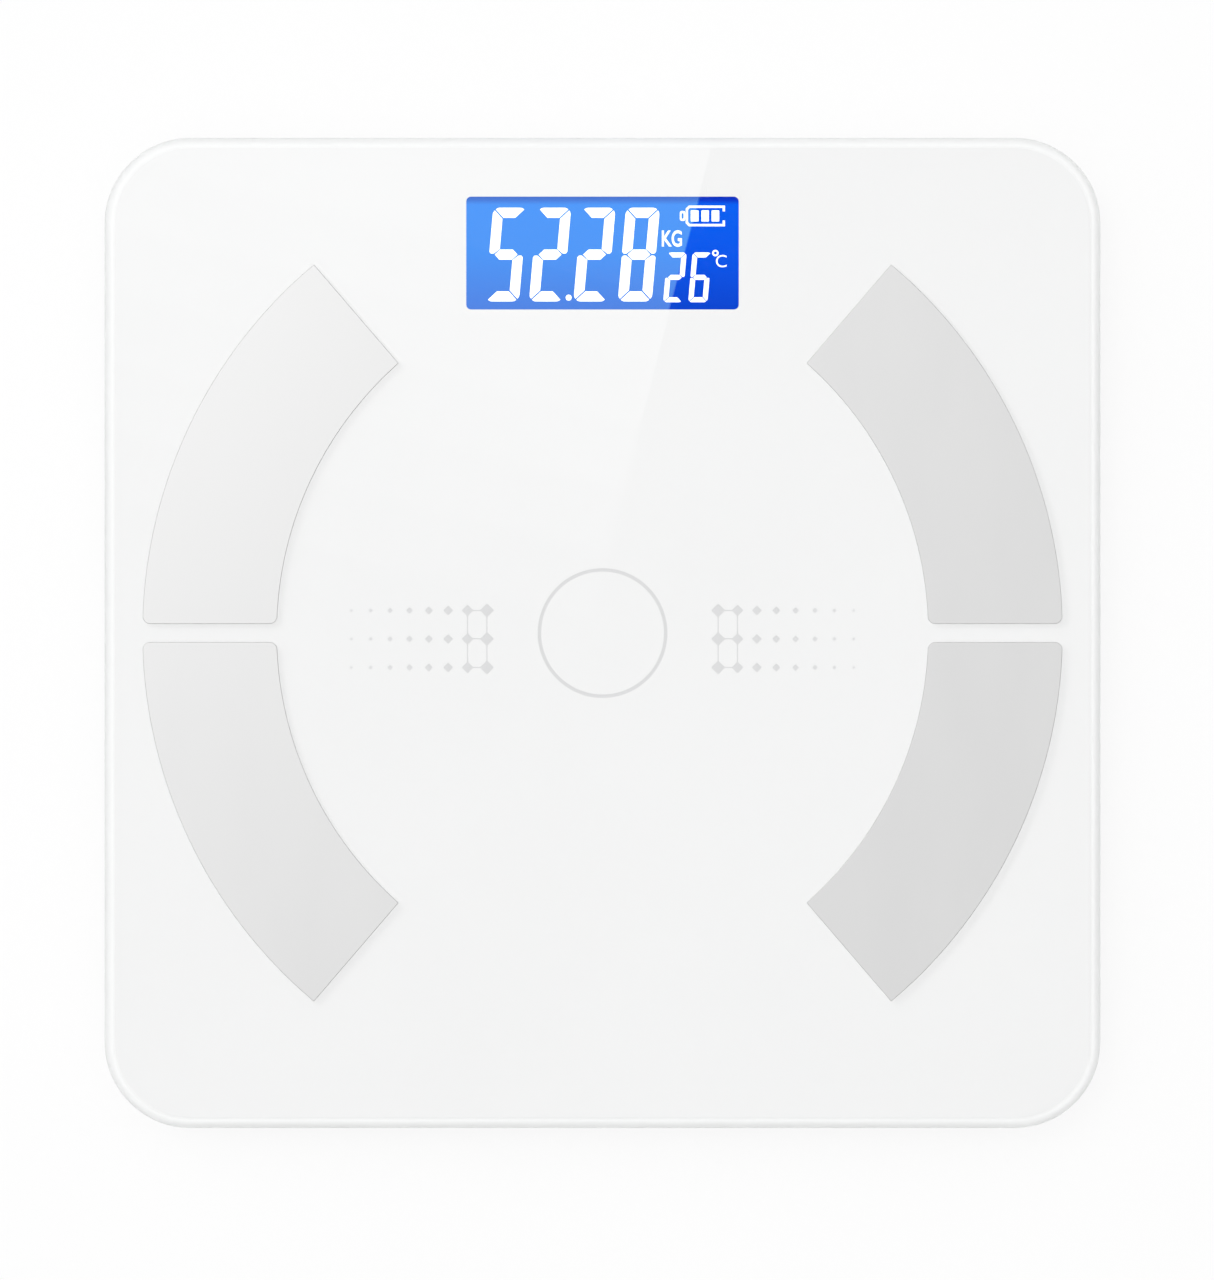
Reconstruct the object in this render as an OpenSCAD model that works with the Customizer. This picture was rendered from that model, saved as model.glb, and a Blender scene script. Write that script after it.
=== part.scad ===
// Digital bathroom scale with body-fat electrodes: a tempered glass platform bonded to a
// plastic base that holds the display, board, battery bay and one load cell over each foot.
// Millimetres. Z is up from the floor, X is to the user's right, Y is towards the display.

/* [Glass platform] */
// Width of the glass, left to right
glass_w = 260; // [240:1:320]
// Depth of the glass, heel edge to toe edge
glass_d = 258.5; // [245:0.5:320]
// Thickness of the tempered glass
glass_t = 5; // [4:0.5:8]
// Corner radius of the glass, seen from above
glass_corner = 22.4; // [12:0.2:30]
// Radius ground along both glass edges, which together make a pencil edge
glass_round = 2.4; // [0.5:0.1:2.4]
// Thickness of the film printed behind the glass
film_t = 0.2; // [0.1:0.1:0.4]
// Thickness of the bonding tape under the film
tape_t = 0.8; // [0.5:0.1:1.5]

/* [Electrodes] */
// Height of an electrode above the glass
pad_t = 0.4; // [0.2:0.1:1]
// Width of an electrode at the gap in the middle
pad_w = 35.1; // [25:0.1:40]
// Distance from the glass edge to the electrode
pad_margin = 10; // [6:0.5:16]
// Radius of the electrode's outer edge
pad_outer_r = 125.6; // [110:0.2:140]
// Radius of the electrode's inner edge
pad_inner_r = 93.8; // [80:0.2:105]
// Gap between toe electrode and heel electrode
pad_gap = 4.7; // [3:0.1:10]
// Corner radius of the electrode beside that gap
pad_corner = 2; // [0.5:0.1:4]
// Direction of the electrode's far end, in degrees from X
pad_end_angle = 49.4; // [40:0.1:56]
// Sideways offset of that end's line from the middle
pad_end_offset = 5.4; // [0:0.1:10]
// Radius of the stud that carries the current through the glass
stud_r = 1.5; // [1:0.1:2]
// Direction of the stud from the middle, in degrees from X
stud_angle = 17; // [12:1:24]

/* [Display] */
// Width of the clear window
window_w = 71.2; // [58:0.2:86]
// Height of the clear window
window_d = 29.5; // [20:0.5:36]
// Distance from the glass's toe edge to the window
window_margin = 15.25; // [15:0.25:25]
// Thickness of the display cell
cell_glass_t = 2.2; // [1.6:0.1:3]
// Thickness of the light guide
guide_t = 3; // [2:0.1:4]
// Thickness of the display frame's floor
frame_floor_t = 1.1; // [0.8:0.1:2]
// Wall of the display frame
frame_wall = 1.5; // [1:0.1:2]

/* [Base] */
// Gap between the floor and the underside of the base
base_gap = 4.5; // [4:0.1:8]
// Height of the base shell
base_h = 15; // [14.8:0.2:24]
// How far the base stays inside the glass edge
base_inset = 5; // [4:0.2:9]
// Radius of the base's lower edge
base_round = 4; // [2:0.2:5]
// Thickness of the base's outer wall
base_wall = 2.2; // [1.6:0.1:2.6]
// Thickness of the base's floor
base_floor = 2; // [1.5:0.1:3]
// Thickness of the stiffening ribs
rib_t = 1.6; // [1:0.1:3]
// Height of the ribs above the base's floor
rib_h = 4.5; // [2:0.5:5]

/* [Feet] */
// Distance from each glass edge to the foot's centre
foot_inset = 44; // [38:0.5:53]
// Depth of the well above each foot
well_depth = 9; // [7.5:0.1:11]
// Wall round the well
well_wall = 2.3; // [1.6:0.1:3]
// Thickness of the deck over the well
deck_t = 2; // [1.5:0.1:3]
// Gap between the foot and the well's wall
foot_gap = 1.5; // [0.8:0.1:2.5]
// Radius of the foot's central post
post_r = 4.5; // [3:0.1:5]
// How far the rubber pad stays inside the foot's edge
rubber_margin = 4.5; // [2.5:0.1:9]
// Thickness of the rubber pad
rubber_t = 2; // [1.5:0.1:3]
// How far a foot rises into the base under full load
foot_travel = 0.5; // [0.2:0.1:0.6]

/* [Load cells] */
// Side of the square load cell plate
cell_w = 34; // [28:0.2:41]
// Thickness of the load cell plate
cell_t = 2; // [1.5:0.1:2.4]
// Width of the plate's outer frame
cell_frame = 5; // [4:0.1:6]
// Width of the plate's tongue
tongue_w = 12; // [10:0.5:14]
// Height of the bracket that clamps the plate
bracket_t = 3.2; // [3:0.1:3.4]
// Gap between a bracket's corners and the wall of its well
bracket_gap = 0.9; // [0.5:0.1:2]

/* [Battery bay] */
// Diameter of one cell
battery_d = 10.5; // [10:0.1:11.5]
// Length of one cell, with its nub
battery_l = 44.5; // [38:0.1:54]
// Gap between the two cells
battery_gap = 0.7; // [0.4:0.1:1.5]
// Length left for a contact spring
spring_l = 3.9; // [3:0.1:5]
// Thickness of the battery door
door_t = 1.6; // [1.2:0.1:2]
// Length of the door's tongues past the opening's lip
tongue_l = 2.5; // [1.5:0.1:3]

/* [Board] */
// How far the main board runs past the display frame on either side
board_side = 8.2; // [7:0.1:14]
// How far it runs past the frame towards the heels
board_front = 15.4; // [12:0.1:24]
// Thickness of the main board
board_t = 1.6; // [1:0.1:2]
// Distance of the unit button to the right of the middle
button_x = 28; // [10:1:34]
// Radius of the unit button
button_r = 5; // [4:0.1:6]
// Travel of the unit button
button_travel = 0.5; // [0.3:0.1:0.5]
// Outside diameter of an insulated wire
wire_d = 0.9; // [0.7:0.1:1]
// Distance between the wires of one lead
wire_pitch = 1.5; // [1.3:0.1:1.8]

/* [Clearances] */
// Gap round a piece that drops into a pocket
fit_gap = 0.3; // [0.2:0.05:0.4]
// Gap between a screw or stud and its hole
screw_gap = 0.05; // [0.03:0.01:0.1]

/* [Hidden] */
$fn = 64;
NEAR = 0.01;    // overlap of two cuts that meet
PAST = 1;       // how far a cut runs past the face it opens

// Corners, each with the signs of its X and Y
CORNERS = [
    ["toe_left", [-1, 1]],
    ["toe_right", [1, 1]],
    ["heel_left", [-1, -1]],
    ["heel_right", [1, -1]],
];
CORNER_NODES = [
    for (kind = ["electrode_", "load_cell_", "strain_gauge_", "sensor_bracket_", "foot_",
                 "foot_pad_", "load_cell_lead_"])
        for (c = CORNERS) str(kind, c[0])
];

// Heights, from the floor up
base_top = base_gap + base_h;
film_z = base_top + tape_t;
glass_z = film_z + film_t;
glass_top = glass_z + glass_t;
glass_edge_r = min(glass_round, glass_t / 2);
floor_top = base_gap + base_floor;
well_top = base_gap + well_depth;
seat_h = 1;                                 // rib that the load cell's frame presses on
cell_corner = 3;
tray_wall = 1;
tray_w = cell_w + 2 * fit_gap + 2 * tray_wall;
tray_corner = cell_corner + fit_gap + tray_wall;
well_r = sqrt(2) * (tray_w / 2 - tray_corner) + tray_corner + bracket_gap;
cell_top = well_top - seat_h;
cell_z = cell_top - cell_t;
bracket_z = cell_z - bracket_t;

// Base
cavity_inset = base_inset + base_round + base_wall;
rib_x = 46;
rib_ys = [-80, -40, 40];
foot_x = glass_w / 2 - foot_inset;
foot_y = glass_d / 2 - foot_inset;

// Foot
foot_r = well_r - foot_gap;
foot_z = 1.5;                               // underside of the foot, above the floor
foot_disc_t = 2.5;
foot_rim_t = 2;
rubber_r = foot_r - rubber_margin;
foot_rim_top = bracket_z - foot_travel - 0.4;
hook_r = cell_w / 2 - 4;                    // outside of a hook's stem
hook_t = 1.2;
hook_barb = 1.3;
hook_count = 3;
lip_t = 1;                                  // bracket lip that the hooks catch on

// Load cell plate
cell_hole_w = cell_w - 2 * cell_frame;
tongue_tip = 8;                             // how far the tongue runs past the centre
gauge_size = [7, 4, 0.6];
lead_z = cell_top + 0.48;                   // axis of the three wires where they leave the cell
lead_way_w = 2 * wire_pitch + wire_d + 2;   // way cut for them through the seat and the wall
tray_step = 1.2;                            // how far the tray's floor is above its hook ring
tray_lip = 1;                               // height of the tray's wall beside the plate

// Screws
screw_r = 0.85;
screw_hole_r = screw_r + screw_gap;
screw_head_r = 2.1;
screw_head_t = 1.1;
screw_boss_r = 2.8;
bracket_screw_x = tray_w / 2 + screw_boss_r - 0.6;

// Battery bay: along X, its door hinged on the heel side
battery_z = base_gap + door_t + 0.5;
battery_axis_z = battery_z + battery_d / 2;
battery_pitch = battery_d + battery_gap;
battery_reach = (battery_pitch + battery_d) / 2;
contact_t = 0.4;
bay_half_l = (battery_l + spring_l) / 2 + contact_t;
bay_wall = 1.5;
// The door's opening, heel side and toe side
opening_y = [-battery_reach - 1.65, battery_reach + 2.65];
bay_y = [opening_y[0] - tongue_l - 2, opening_y[1] + fit_gap];
bay_roof_z = battery_z + battery_d + 0.4;
opening_half_l = bay_half_l - 0.3;
door_tongue_x = 14;                         // tongues left and right of the middle
door_tongue_w = 8;
tab_l = 6;                                  // solder tab, from the contact out through the wall
tab_w = 2;
dip_r = 7;                                  // dip for a fingertip at the door's latch
dip_depth = 1;

// Display
window_y = glass_d / 2 - window_margin - window_d / 2;
window_corner = 1.3;
cell_glass_z = base_top - cell_glass_t;
guide_z = cell_glass_z - guide_t;
frame_z = guide_z - frame_floor_t;
cell_glass_w = window_w + 2.8;
cell_toe_y = window_y + window_d / 2 + 1.8;
cell_heel_y = window_y - window_d / 2 - 4.3;
frame_w = cell_glass_w + 2 * frame_wall + 2 * fit_gap;
frame_toe_y = cell_toe_y + frame_wall;
frame_heel_y = cell_heel_y - frame_wall;
strip_d = 2;
strip_y = cell_heel_y + 0.8;
guide_heel_y = strip_y + strip_d + 1;
guide_left_x = -cell_glass_w / 2 + 1.3;
lamp_t = 1;

// Board
board_w = frame_w + 2 * board_side;
board_z = frame_z - board_t;
board_toe_y = frame_toe_y;
board_heel_y = frame_heel_y - board_front;
board_d = board_toe_y - board_heel_y;
board_screw_x = board_w / 2 - 3;
board_screw_y = [board_heel_y + 3.7, board_toe_y - 4];
button_y = board_heel_y + 9;
switch_w = 6;
switch_h = 3;
switch_z = board_z - switch_h;
plunger_r = 1.7;
plunger_z = switch_z - 0.6;
button_flange_r = button_r + 1.5;
button_flange_z = floor_top + fit_gap;
button_face_z = base_gap + 0.4;

// Connectors along the board's heel edge: x of each, and how many wires
connector_y = board_heel_y + 1.5;
connector_d = 6;
connector_h = 4.2;
toe_connector_x = board_screw_x - 14;
heel_connector_x = 16;
battery_connector_x = -5.5;
electrode_connector_x = 4.5;
CONNECTORS = [
    [-toe_connector_x, 3],
    [-heel_connector_x, 3],
    [battery_connector_x, 2],
    [electrode_connector_x, 4],
    [heel_connector_x, 3],
    [toe_connector_x, 3],
];
socket_z = frame_z + connector_h / 2;       // axis of the wires at a connector
turn_y = connector_y - 15;                  // where the wires turn towards a connector
straight_y = connector_y - 9;               // from where they run straight into it
well_exit = well_r + 5;                     // from a foot's centre, past the wall of its well

// Electrodes
pad_outer_x = glass_w / 2 - pad_margin - pad_outer_r;
pad_inner_x = glass_w / 2 - pad_margin - pad_w - pad_inner_r;
stud_ring_r = (pad_outer_r + pad_inner_r) / 2;
stud_x = (pad_outer_x + pad_inner_x) / 2 + stud_ring_r * cos(stud_angle);
stud_y = stud_ring_r * sin(stud_angle);
terminal_t = 0.6;
nut_t = 2.4;
stud_end_z = film_z - terminal_t - nut_t - 0.8;
terminal_tail = 9;                          // from the stud to the end of its wire barrel
barrel_z = film_z - 1.2;                    // axis of that barrel

// Routes of the leads, as points of the toe right or heel right corner; a left one is mirrored
TOE_ROUTE = [
    [foot_x, foot_y - cell_hole_w / 2, lead_z],
    [foot_x, foot_y - well_exit, lead_z],
    [foot_x - 4, foot_y - well_exit - 6, 13.4],
    [54, 46, 14],
    [36, 45, 14.5],
    [toe_connector_x, turn_y, socket_z],
    [toe_connector_x, straight_y, socket_z],
    [toe_connector_x, connector_y, socket_z],
];
HEEL_ROUTE = [
    [foot_x, cell_hole_w / 2 - foot_y, lead_z],
    [foot_x, well_exit - foot_y, lead_z],
    [foot_x - 6, well_exit + 8 - foot_y, 13.2],
    [52, -38, 13.4],
    [40, -24, 13.4],
    [40, 24, 13.6],
    [26, 36, 14],
    [heel_connector_x, turn_y - 4, socket_z],
    [heel_connector_x, straight_y, socket_z],
    [heel_connector_x, connector_y, socket_z],
];
TOE_ELECTRODE_ROUTE = [
    [stud_x - terminal_tail, stud_y, barrel_z],
    [stud_x - terminal_tail - 4, stud_y, barrel_z],
    [stud_x - terminal_tail - 12, stud_y, 18],
    [50, 31, 18],
    [14, 31, 18],
    [0, 38, 17.5],
    [0, turn_y, socket_z],
    [0, connector_y, socket_z],
];
HEEL_ELECTRODE_ROUTE = [
    [stud_x - terminal_tail, -stud_y, barrel_z],
    [stud_x - terminal_tail - 4, -stud_y, barrel_z],
    [stud_x - terminal_tail - 12, -stud_y, 18],
    [60, -24, 18],
    [44, 12, 18],
    [24, 24, 18],
    [10, 25, 18],
    [0, 33, 17.5],
    [0, turn_y, socket_z],
    [0, connector_y, socket_z],
];
// Each electrode lead: its side, its route, and its place in the connector counted from the left
ELECTRODE_LEADS = [
    [-1, TOE_ELECTRODE_ROUTE, 0],
    [-1, HEEL_ELECTRODE_ROUTE, 1],
    [1, HEEL_ELECTRODE_ROUTE, 2],
    [1, TOE_ELECTRODE_ROUTE, 3],
];
tab_end_x = -bay_half_l + contact_t - tab_l;
// Each battery lead: its route from a solder tab to the connector
BATTERY_ROUTES = [
    [
        [tab_end_x, battery_pitch / 2, battery_axis_z],
        [tab_end_x - 1.5, battery_pitch / 2, battery_axis_z],
        [tab_end_x - 2.8, 8, 12.4],
        [tab_end_x - 2.8, 17, 12.2],
        [-24, 22, 12.2],
        [battery_connector_x - 4, 24, 12.4],
        [battery_connector_x + wire_pitch / 2, 34, 13],
        [battery_connector_x + wire_pitch / 2, turn_y, socket_z],
        [battery_connector_x + wire_pitch / 2, connector_y, socket_z],
    ],
    [
        [tab_end_x, -battery_pitch / 2, battery_axis_z],
        [tab_end_x - 2, -battery_pitch / 2, battery_axis_z],
        [tab_end_x - 4.8, -2, 12.4],
        [tab_end_x - 4.8, 18, 12.2],
        [-25, 24, 12.2],
        [battery_connector_x - 5, 26, 12.4],
        [battery_connector_x - wire_pitch / 2, 35, 13],
        [battery_connector_x - wire_pitch / 2, turn_y, socket_z],
        [battery_connector_x - wire_pitch / 2, connector_y, socket_z],
    ],
];

// ---- Shared shapes ----

function unit(v) = v / norm(v);

// Cuts every corner of a route once, keeping both ends
function rounded(p) = concat(
    [p[0]],
    [for (i = [0:len(p) - 2])
        each [0.75 * p[i] + 0.25 * p[i + 1], 0.25 * p[i] + 0.75 * p[i + 1]]],
    [p[len(p) - 1]]
);

// Direction of a route at point i
function heading(p, i) = unit(p[min(i + 1, len(p) - 1)] - p[max(i - 1, 0)]);

// A route moved sideways in plan
function beside(p, offset) = [
    for (i = [0:len(p) - 1])
        let (h = unit([heading(p, i).x, heading(p, i).y, 0]))
            p[i] + offset * [-h.y, h.x, 0]
];

// Ring of points round a route's point i; the route is never upright there
function ring(p, i, r, sides) =
    let (
        h = heading(p, i),
        across = unit(cross(h, [0, 0, 1])),
        up = cross(across, h)
    )
        [for (k = [0:sides - 1])
            p[i] + r * (cos(360 * k / sides) * across + sin(360 * k / sides) * up)];

function backwards(list) = [for (i = [len(list) - 1:-1:0]) list[i]];

// Section of an edge rounded to radius r, from the flat face at height z out to the flank at
// side; up is 1 for a lower edge and -1 for an upper one
function edge_arc(side, z, r, up) = [
    for (a = [0:15:90])
        [side - r * (1 - sin(a)), z + up * r * (1 - cos(a))]];

// Round bar of radius r along a route
module bar_along(p, r, sides = 6) {
    n = len(p);
    polyhedron(
        points = [for (i = [0:n - 1]) each ring(p, i, r, sides)],
        faces = concat(
            [[for (k = [sides - 1:-1:0]) k]],
            [for (i = [0:n - 2], k = [0:sides - 1])
                let (m = (k + 1) % sides)
                    [i * sides + k, i * sides + m, (i + 1) * sides + m, (i + 1) * sides + k]],
            [[for (k = [0:sides - 1]) (n - 1) * sides + k]]
        )
    );
}

// Centred rectangle with round corners
module rounded_rect(w, d, r) {
    offset(r = r)
        square([w - 2 * r, d - 2 * r], center = true);
}

// The glass outline drawn in by inset
module outline(inset) {
    rounded_rect(glass_w - 2 * inset, glass_d - 2 * inset, glass_corner - inset);
}

// Slab with the outline's corners, whose edge has this section, from the corner's axis outwards
module edged_slab(section) {
    hull()
        for (x = [-1, 1], y = [-1, 1])
            translate([x * (glass_w / 2 - glass_corner), y * (glass_d / 2 - glass_corner), 0])
                rotate_extrude($fn = 48)
                    polygon(section);
}

// Box from one corner to the opposite one
module box(low, high) {
    translate(low)
        cube(high - low);
}

// Upright cylinder between two heights
module disc(r, z0, z1) {
    translate([0, 0, z0])
        cylinder(r = r, h = z1 - z0);
}

// Mirrors a part of the toe right corner into the corner with these signs
module to_corner(signs) {
    mirror([signs.x < 0 ? 1 : 0, 0, 0])
        mirror([0, signs.y < 0 ? 1 : 0, 0])
            children();
}

// The same at every corner
module at_corners() {
    for (c = CORNERS)
        to_corner(c[1])
            children();
}

// Moves a part from the foot's centre to the toe right foot
module at_foot() {
    translate([foot_x, foot_y, 0])
        children();
}

// ---- Glass, print and tape ----

module glass_platform() {
    color("white", 0.6)
        difference() {
            edged_slab(concat(
                [[0, glass_z]],
                edge_arc(glass_corner, glass_z, glass_edge_r, 1),
                backwards(edge_arc(glass_corner, glass_top, glass_edge_r, -1)),
                [[0, glass_top]]
            ));
            at_corners()
                translate([stud_x, stud_y, 0])
                    disc(stud_r + 0.7, glass_z - PAST, glass_top + PAST);
        }
}

module back_print() {
    color("white")
        translate([0, 0, film_z])
            linear_extrude(film_t)
                difference() {
                    outline(glass_edge_r + 0.2);
                    translate([0, window_y])
                        rounded_rect(window_w, window_d, window_corner);
                    at_corners()
                        translate([stud_x, stud_y])
                            circle(stud_r + 0.7);
                }
}

module bonding_tape() {
    color("gainsboro")
        translate([0, 0, base_top]) {
            linear_extrude(tape_t)
                difference() {
                    outline(base_inset + 0.6);
                    outline(cavity_inset + 0.1);
                }
            at_corners()
                at_foot()
                    linear_extrude(tape_t)
                        difference() {
                            circle(well_r + well_wall - 0.2);
                            circle(well_r + 0.2);
                        }
            linear_extrude(tape_t)
                translate([0, (bay_y[0] + bay_y[1]) / 2])
                    rounded_rect(2 * bay_half_l - 2, bay_y[1] - bay_y[0] - 2, 2);
        }
}

// ---- Electrodes ----

// Plan of the toe right electrode
module electrode_plan() {
    reach = glass_w;
    intersection() {
        offset(r = pad_corner)
            offset(delta = -pad_corner)
                difference() {
                    translate([pad_outer_x, 0])
                        circle(pad_outer_r, $fn = 240);
                    translate([pad_inner_x, 0])
                        circle(pad_inner_r, $fn = 240);
                    translate([-reach, pad_gap / 2 - 2 * reach])
                        square(2 * reach);
                    translate([-2 * reach, -reach])
                        square(2 * reach);
                }
        rotate(pad_end_angle)
            translate([0, pad_end_offset - reach])
                square(reach);
    }
}

module electrode() {
    color("lightgray") {
        translate([0, 0, glass_top])
            linear_extrude(pad_t)
                electrode_plan();
        translate([stud_x, stud_y, 0])
            disc(stud_r, stud_end_z, glass_top);
    }
}

// Ring tag with a wire barrel that points to the middle
module electrode_terminal() {
    barrel_r = 0.9;
    difference() {
        union() {
            disc(3.2, film_z - terminal_t, film_z);
            box([-5, -1.2, film_z - terminal_t], [0, 1.2, film_z]);
            translate([-terminal_tail, 0, barrel_z])
                rotate([0, 90, 0])
                    cylinder(r = barrel_r, h = 4.4);
        }
        disc(stud_r + screw_gap, film_z - 2 * terminal_t, film_z + PAST);
    }
}

module electrode_terminals() {
    color("silver")
        at_corners()
            translate([stud_x, stud_y, 0])
                electrode_terminal();
}

module electrode_nuts() {
    color("silver")
        at_corners()
            translate([stud_x, stud_y, film_z - terminal_t - nut_t])
                difference() {
                    cylinder(r = 3.1, h = nut_t, $fn = 6);
                    translate([0, 0, -PAST])
                        cylinder(r = stud_r + screw_gap, h = nut_t + 2 * PAST);
                }
}

module electrode_leads() {
    color("gray")
        for (lead = ELECTRODE_LEADS) {
            place = (lead[2] - 1.5) * wire_pitch + electrode_connector_x;
            route = [for (p = lead[1])
                p.x == 0 ? [place, p.y, p.z] : [lead[0] * p.x, p.y, p.z]];
            bar_along(rounded(rounded(route)), wire_d / 2);
        }
}

// ---- Base ----

// Outside of the base: upright flanks over a rounded lower edge
module base_outside() {
    side = glass_corner - base_inset;
    edged_slab(concat(
        [[0, base_gap]],
        edge_arc(side, base_gap, base_round, 1),
        [[side, base_top], [0, base_top]]
    ));
}

// Floor ribs; the wells and the bay are cut out of them afterwards
module base_ribs() {
    z0 = floor_top - 0.2;
    z1 = floor_top + rib_h;
    side = glass_w / 2 - cavity_inset + 0.2;
    heel = glass_d / 2 - cavity_inset + 0.2;
    for (x = [-rib_x, rib_x])
        box([x - rib_t / 2, -heel, z0], [x + rib_t / 2, board_heel_y - 5, z1]);
    box([-rib_t / 2, -heel, z0], [rib_t / 2, bay_y[0] - 0.5, z1]);
    for (y = rib_ys)
        box([-side, y - rib_t / 2, z0], [side, y + rib_t / 2, z1]);
}

// Cuts at a foot: its well, the space over its deck, the screws' tips and the way out for the
// lead
module well_cuts() {
    disc(well_r, base_gap - PAST, well_top);
    disc(well_r, well_top + deck_t, base_top + PAST);
    at_bracket_screws()
        disc(screw_hole_r, well_top - PAST, well_top + deck_t - 0.4);
    box(
        [-lead_way_w / 2, -well_r - well_wall - PAST, cell_top - 0.2],
        [lead_way_w / 2, -well_r + PAST, well_top - 0.1]
    );
}

// Hangs from a well's deck: the ribs that the load cell's frame presses on
module cell_seat() {
    difference() {
        translate([0, 0, cell_top])
            linear_extrude(seat_h + 0.2)
                difference() {
                    square(cell_w - 1, center = true);
                    square(cell_hole_w + 4, center = true);
                }
        box([-lead_way_w / 2, -cell_w, cell_top - PAST], [lead_way_w / 2, 0, well_top]);
    }
}

// Calls its children at both screws of a bracket
module at_bracket_screws() {
    for (x = [-bracket_screw_x, bracket_screw_x])
        translate([x, 0, 0])
            children();
}

// Calls its children at the four screws of the board
module at_board_screws() {
    for (x = [-board_screw_x, board_screw_x], y = board_screw_y)
        translate([x, y, 0])
            children();
}

// Walls and roof of the battery bay, before it is hollowed
module bay_block() {
    box(
        [-bay_half_l - bay_wall, bay_y[0] - bay_wall, base_gap + 0.5],
        [bay_half_l + bay_wall, bay_y[1] + bay_wall, base_top]
    );
}

// The bay's hollow, its door opening, the ways out for the solder tabs, and the shallow dip
// where a fingertip presses the door's latch
module bay_cuts() {
    box([-bay_half_l, bay_y[0], floor_top], [bay_half_l, bay_y[1], bay_roof_z]);
    box(
        [-opening_half_l, opening_y[0], base_gap - PAST],
        [opening_half_l, opening_y[1], floor_top + NEAR]
    );
    for (y = [-battery_pitch / 2, battery_pitch / 2])
        box(
            [-bay_half_l - bay_wall - PAST, y - tab_w / 2 - 0.2, battery_axis_z - 0.5],
            [-bay_half_l + NEAR, y + tab_w / 2 + 0.2, battery_axis_z + 0.5]
        );
    translate([0, opening_y[1], 0])
        disc(dip_r, base_gap - PAST, base_gap + dip_depth);
}

module base_shell() {
    color("white")
        union() {
            difference() {
                union() {
                    difference() {
                        base_outside();
                        translate([0, 0, floor_top])
                            linear_extrude(base_top)
                                outline(cavity_inset);
                    }
                    base_ribs();
                    at_corners()
                        at_foot()
                            disc(well_r + well_wall, base_gap + 0.5, base_top);
                    bay_block();
                    at_board_screws()
                        disc(screw_boss_r, floor_top - 0.2, board_z);
                }
                at_corners()
                    at_foot()
                        well_cuts();
                bay_cuts();
                at_board_screws()
                    disc(screw_hole_r, floor_top, board_z + PAST);
                translate([button_x, button_y, 0])
                    disc(button_r + fit_gap, base_gap - PAST, floor_top + PAST);
            }
            at_corners()
                at_foot() {
                    cell_seat();
                    at_bracket_screws()
                        difference() {
                            disc(screw_boss_r, cell_z, well_top + 0.2);
                            disc(screw_hole_r, cell_z - PAST, well_top + PAST);
                        }
                }
        }
}

// ---- Feet and load cells, drawn at the toe right foot's centre ----

// Square plate whose middle is cut to leave a tongue; the tongue's root faces the lead
module load_cell() {
    slot = (cell_hole_w - tongue_w) / 2;
    color("silver")
        translate([0, 0, cell_z])
            linear_extrude(cell_t)
                difference() {
                    rounded_rect(cell_w, cell_w, cell_corner);
                    for (side = [-1, 1])
                        translate([side * (tongue_w + slot) / 2, 0])
                            square([slot, cell_hole_w], center = true);
                    translate([-cell_hole_w / 2, tongue_tip])
                        square([cell_hole_w, cell_hole_w / 2 - tongue_tip]);
                }
}

// Sealed gauge on the tongue's root, where the lead starts
module strain_gauge() {
    color("ivory")
        translate([0, -cell_hole_w / 2 + gauge_size.y / 2, cell_top + gauge_size.z / 2])
            cube(gauge_size, center = true);
}

// Tray that clamps the plate's frame up into the well, with a lip for the foot's hooks
module sensor_bracket() {
    color("lightgray")
        difference() {
            union() {
                translate([0, 0, bracket_z + tray_step])
                    linear_extrude(bracket_t - tray_step + tray_lip)
                        rounded_rect(tray_w, tray_w, tray_corner);
                disc(hook_r + hook_barb + 2.6, bracket_z, cell_z);
                at_bracket_screws()
                    disc(screw_boss_r + 0.3, bracket_z + tray_step, cell_z);
            }
            translate([0, 0, cell_z])
                linear_extrude(PAST + tray_lip)
                    rounded_rect(cell_w + 2 * fit_gap, cell_w + 2 * fit_gap, cell_corner + fit_gap);
            disc(hook_r + 0.5, bracket_z - PAST, cell_z);
            disc(hook_r + hook_barb + 0.4, bracket_z + lip_t, cell_z + PAST);
            box([-lead_way_w / 2, -cell_w, cell_z], [lead_way_w / 2, 0, cell_top]);
            at_bracket_screws() {
                disc(screw_hole_r + 0.35, bracket_z, cell_z + PAST);
                disc(screw_boss_r + fit_gap, cell_z, cell_top);
            }
        }
}

// Pan head screw, its point up, drawn from the underside of the head
module pan_screw(length) {
    disc(screw_r, 0, length);
    disc(screw_head_r, -screw_head_t, 0);
}

module bracket_screws() {
    color("silver")
        at_corners()
            at_foot()
                at_bracket_screws()
                    translate([0, 0, bracket_z + tray_step])
                        pan_screw(well_top - bracket_z);
}

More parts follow.
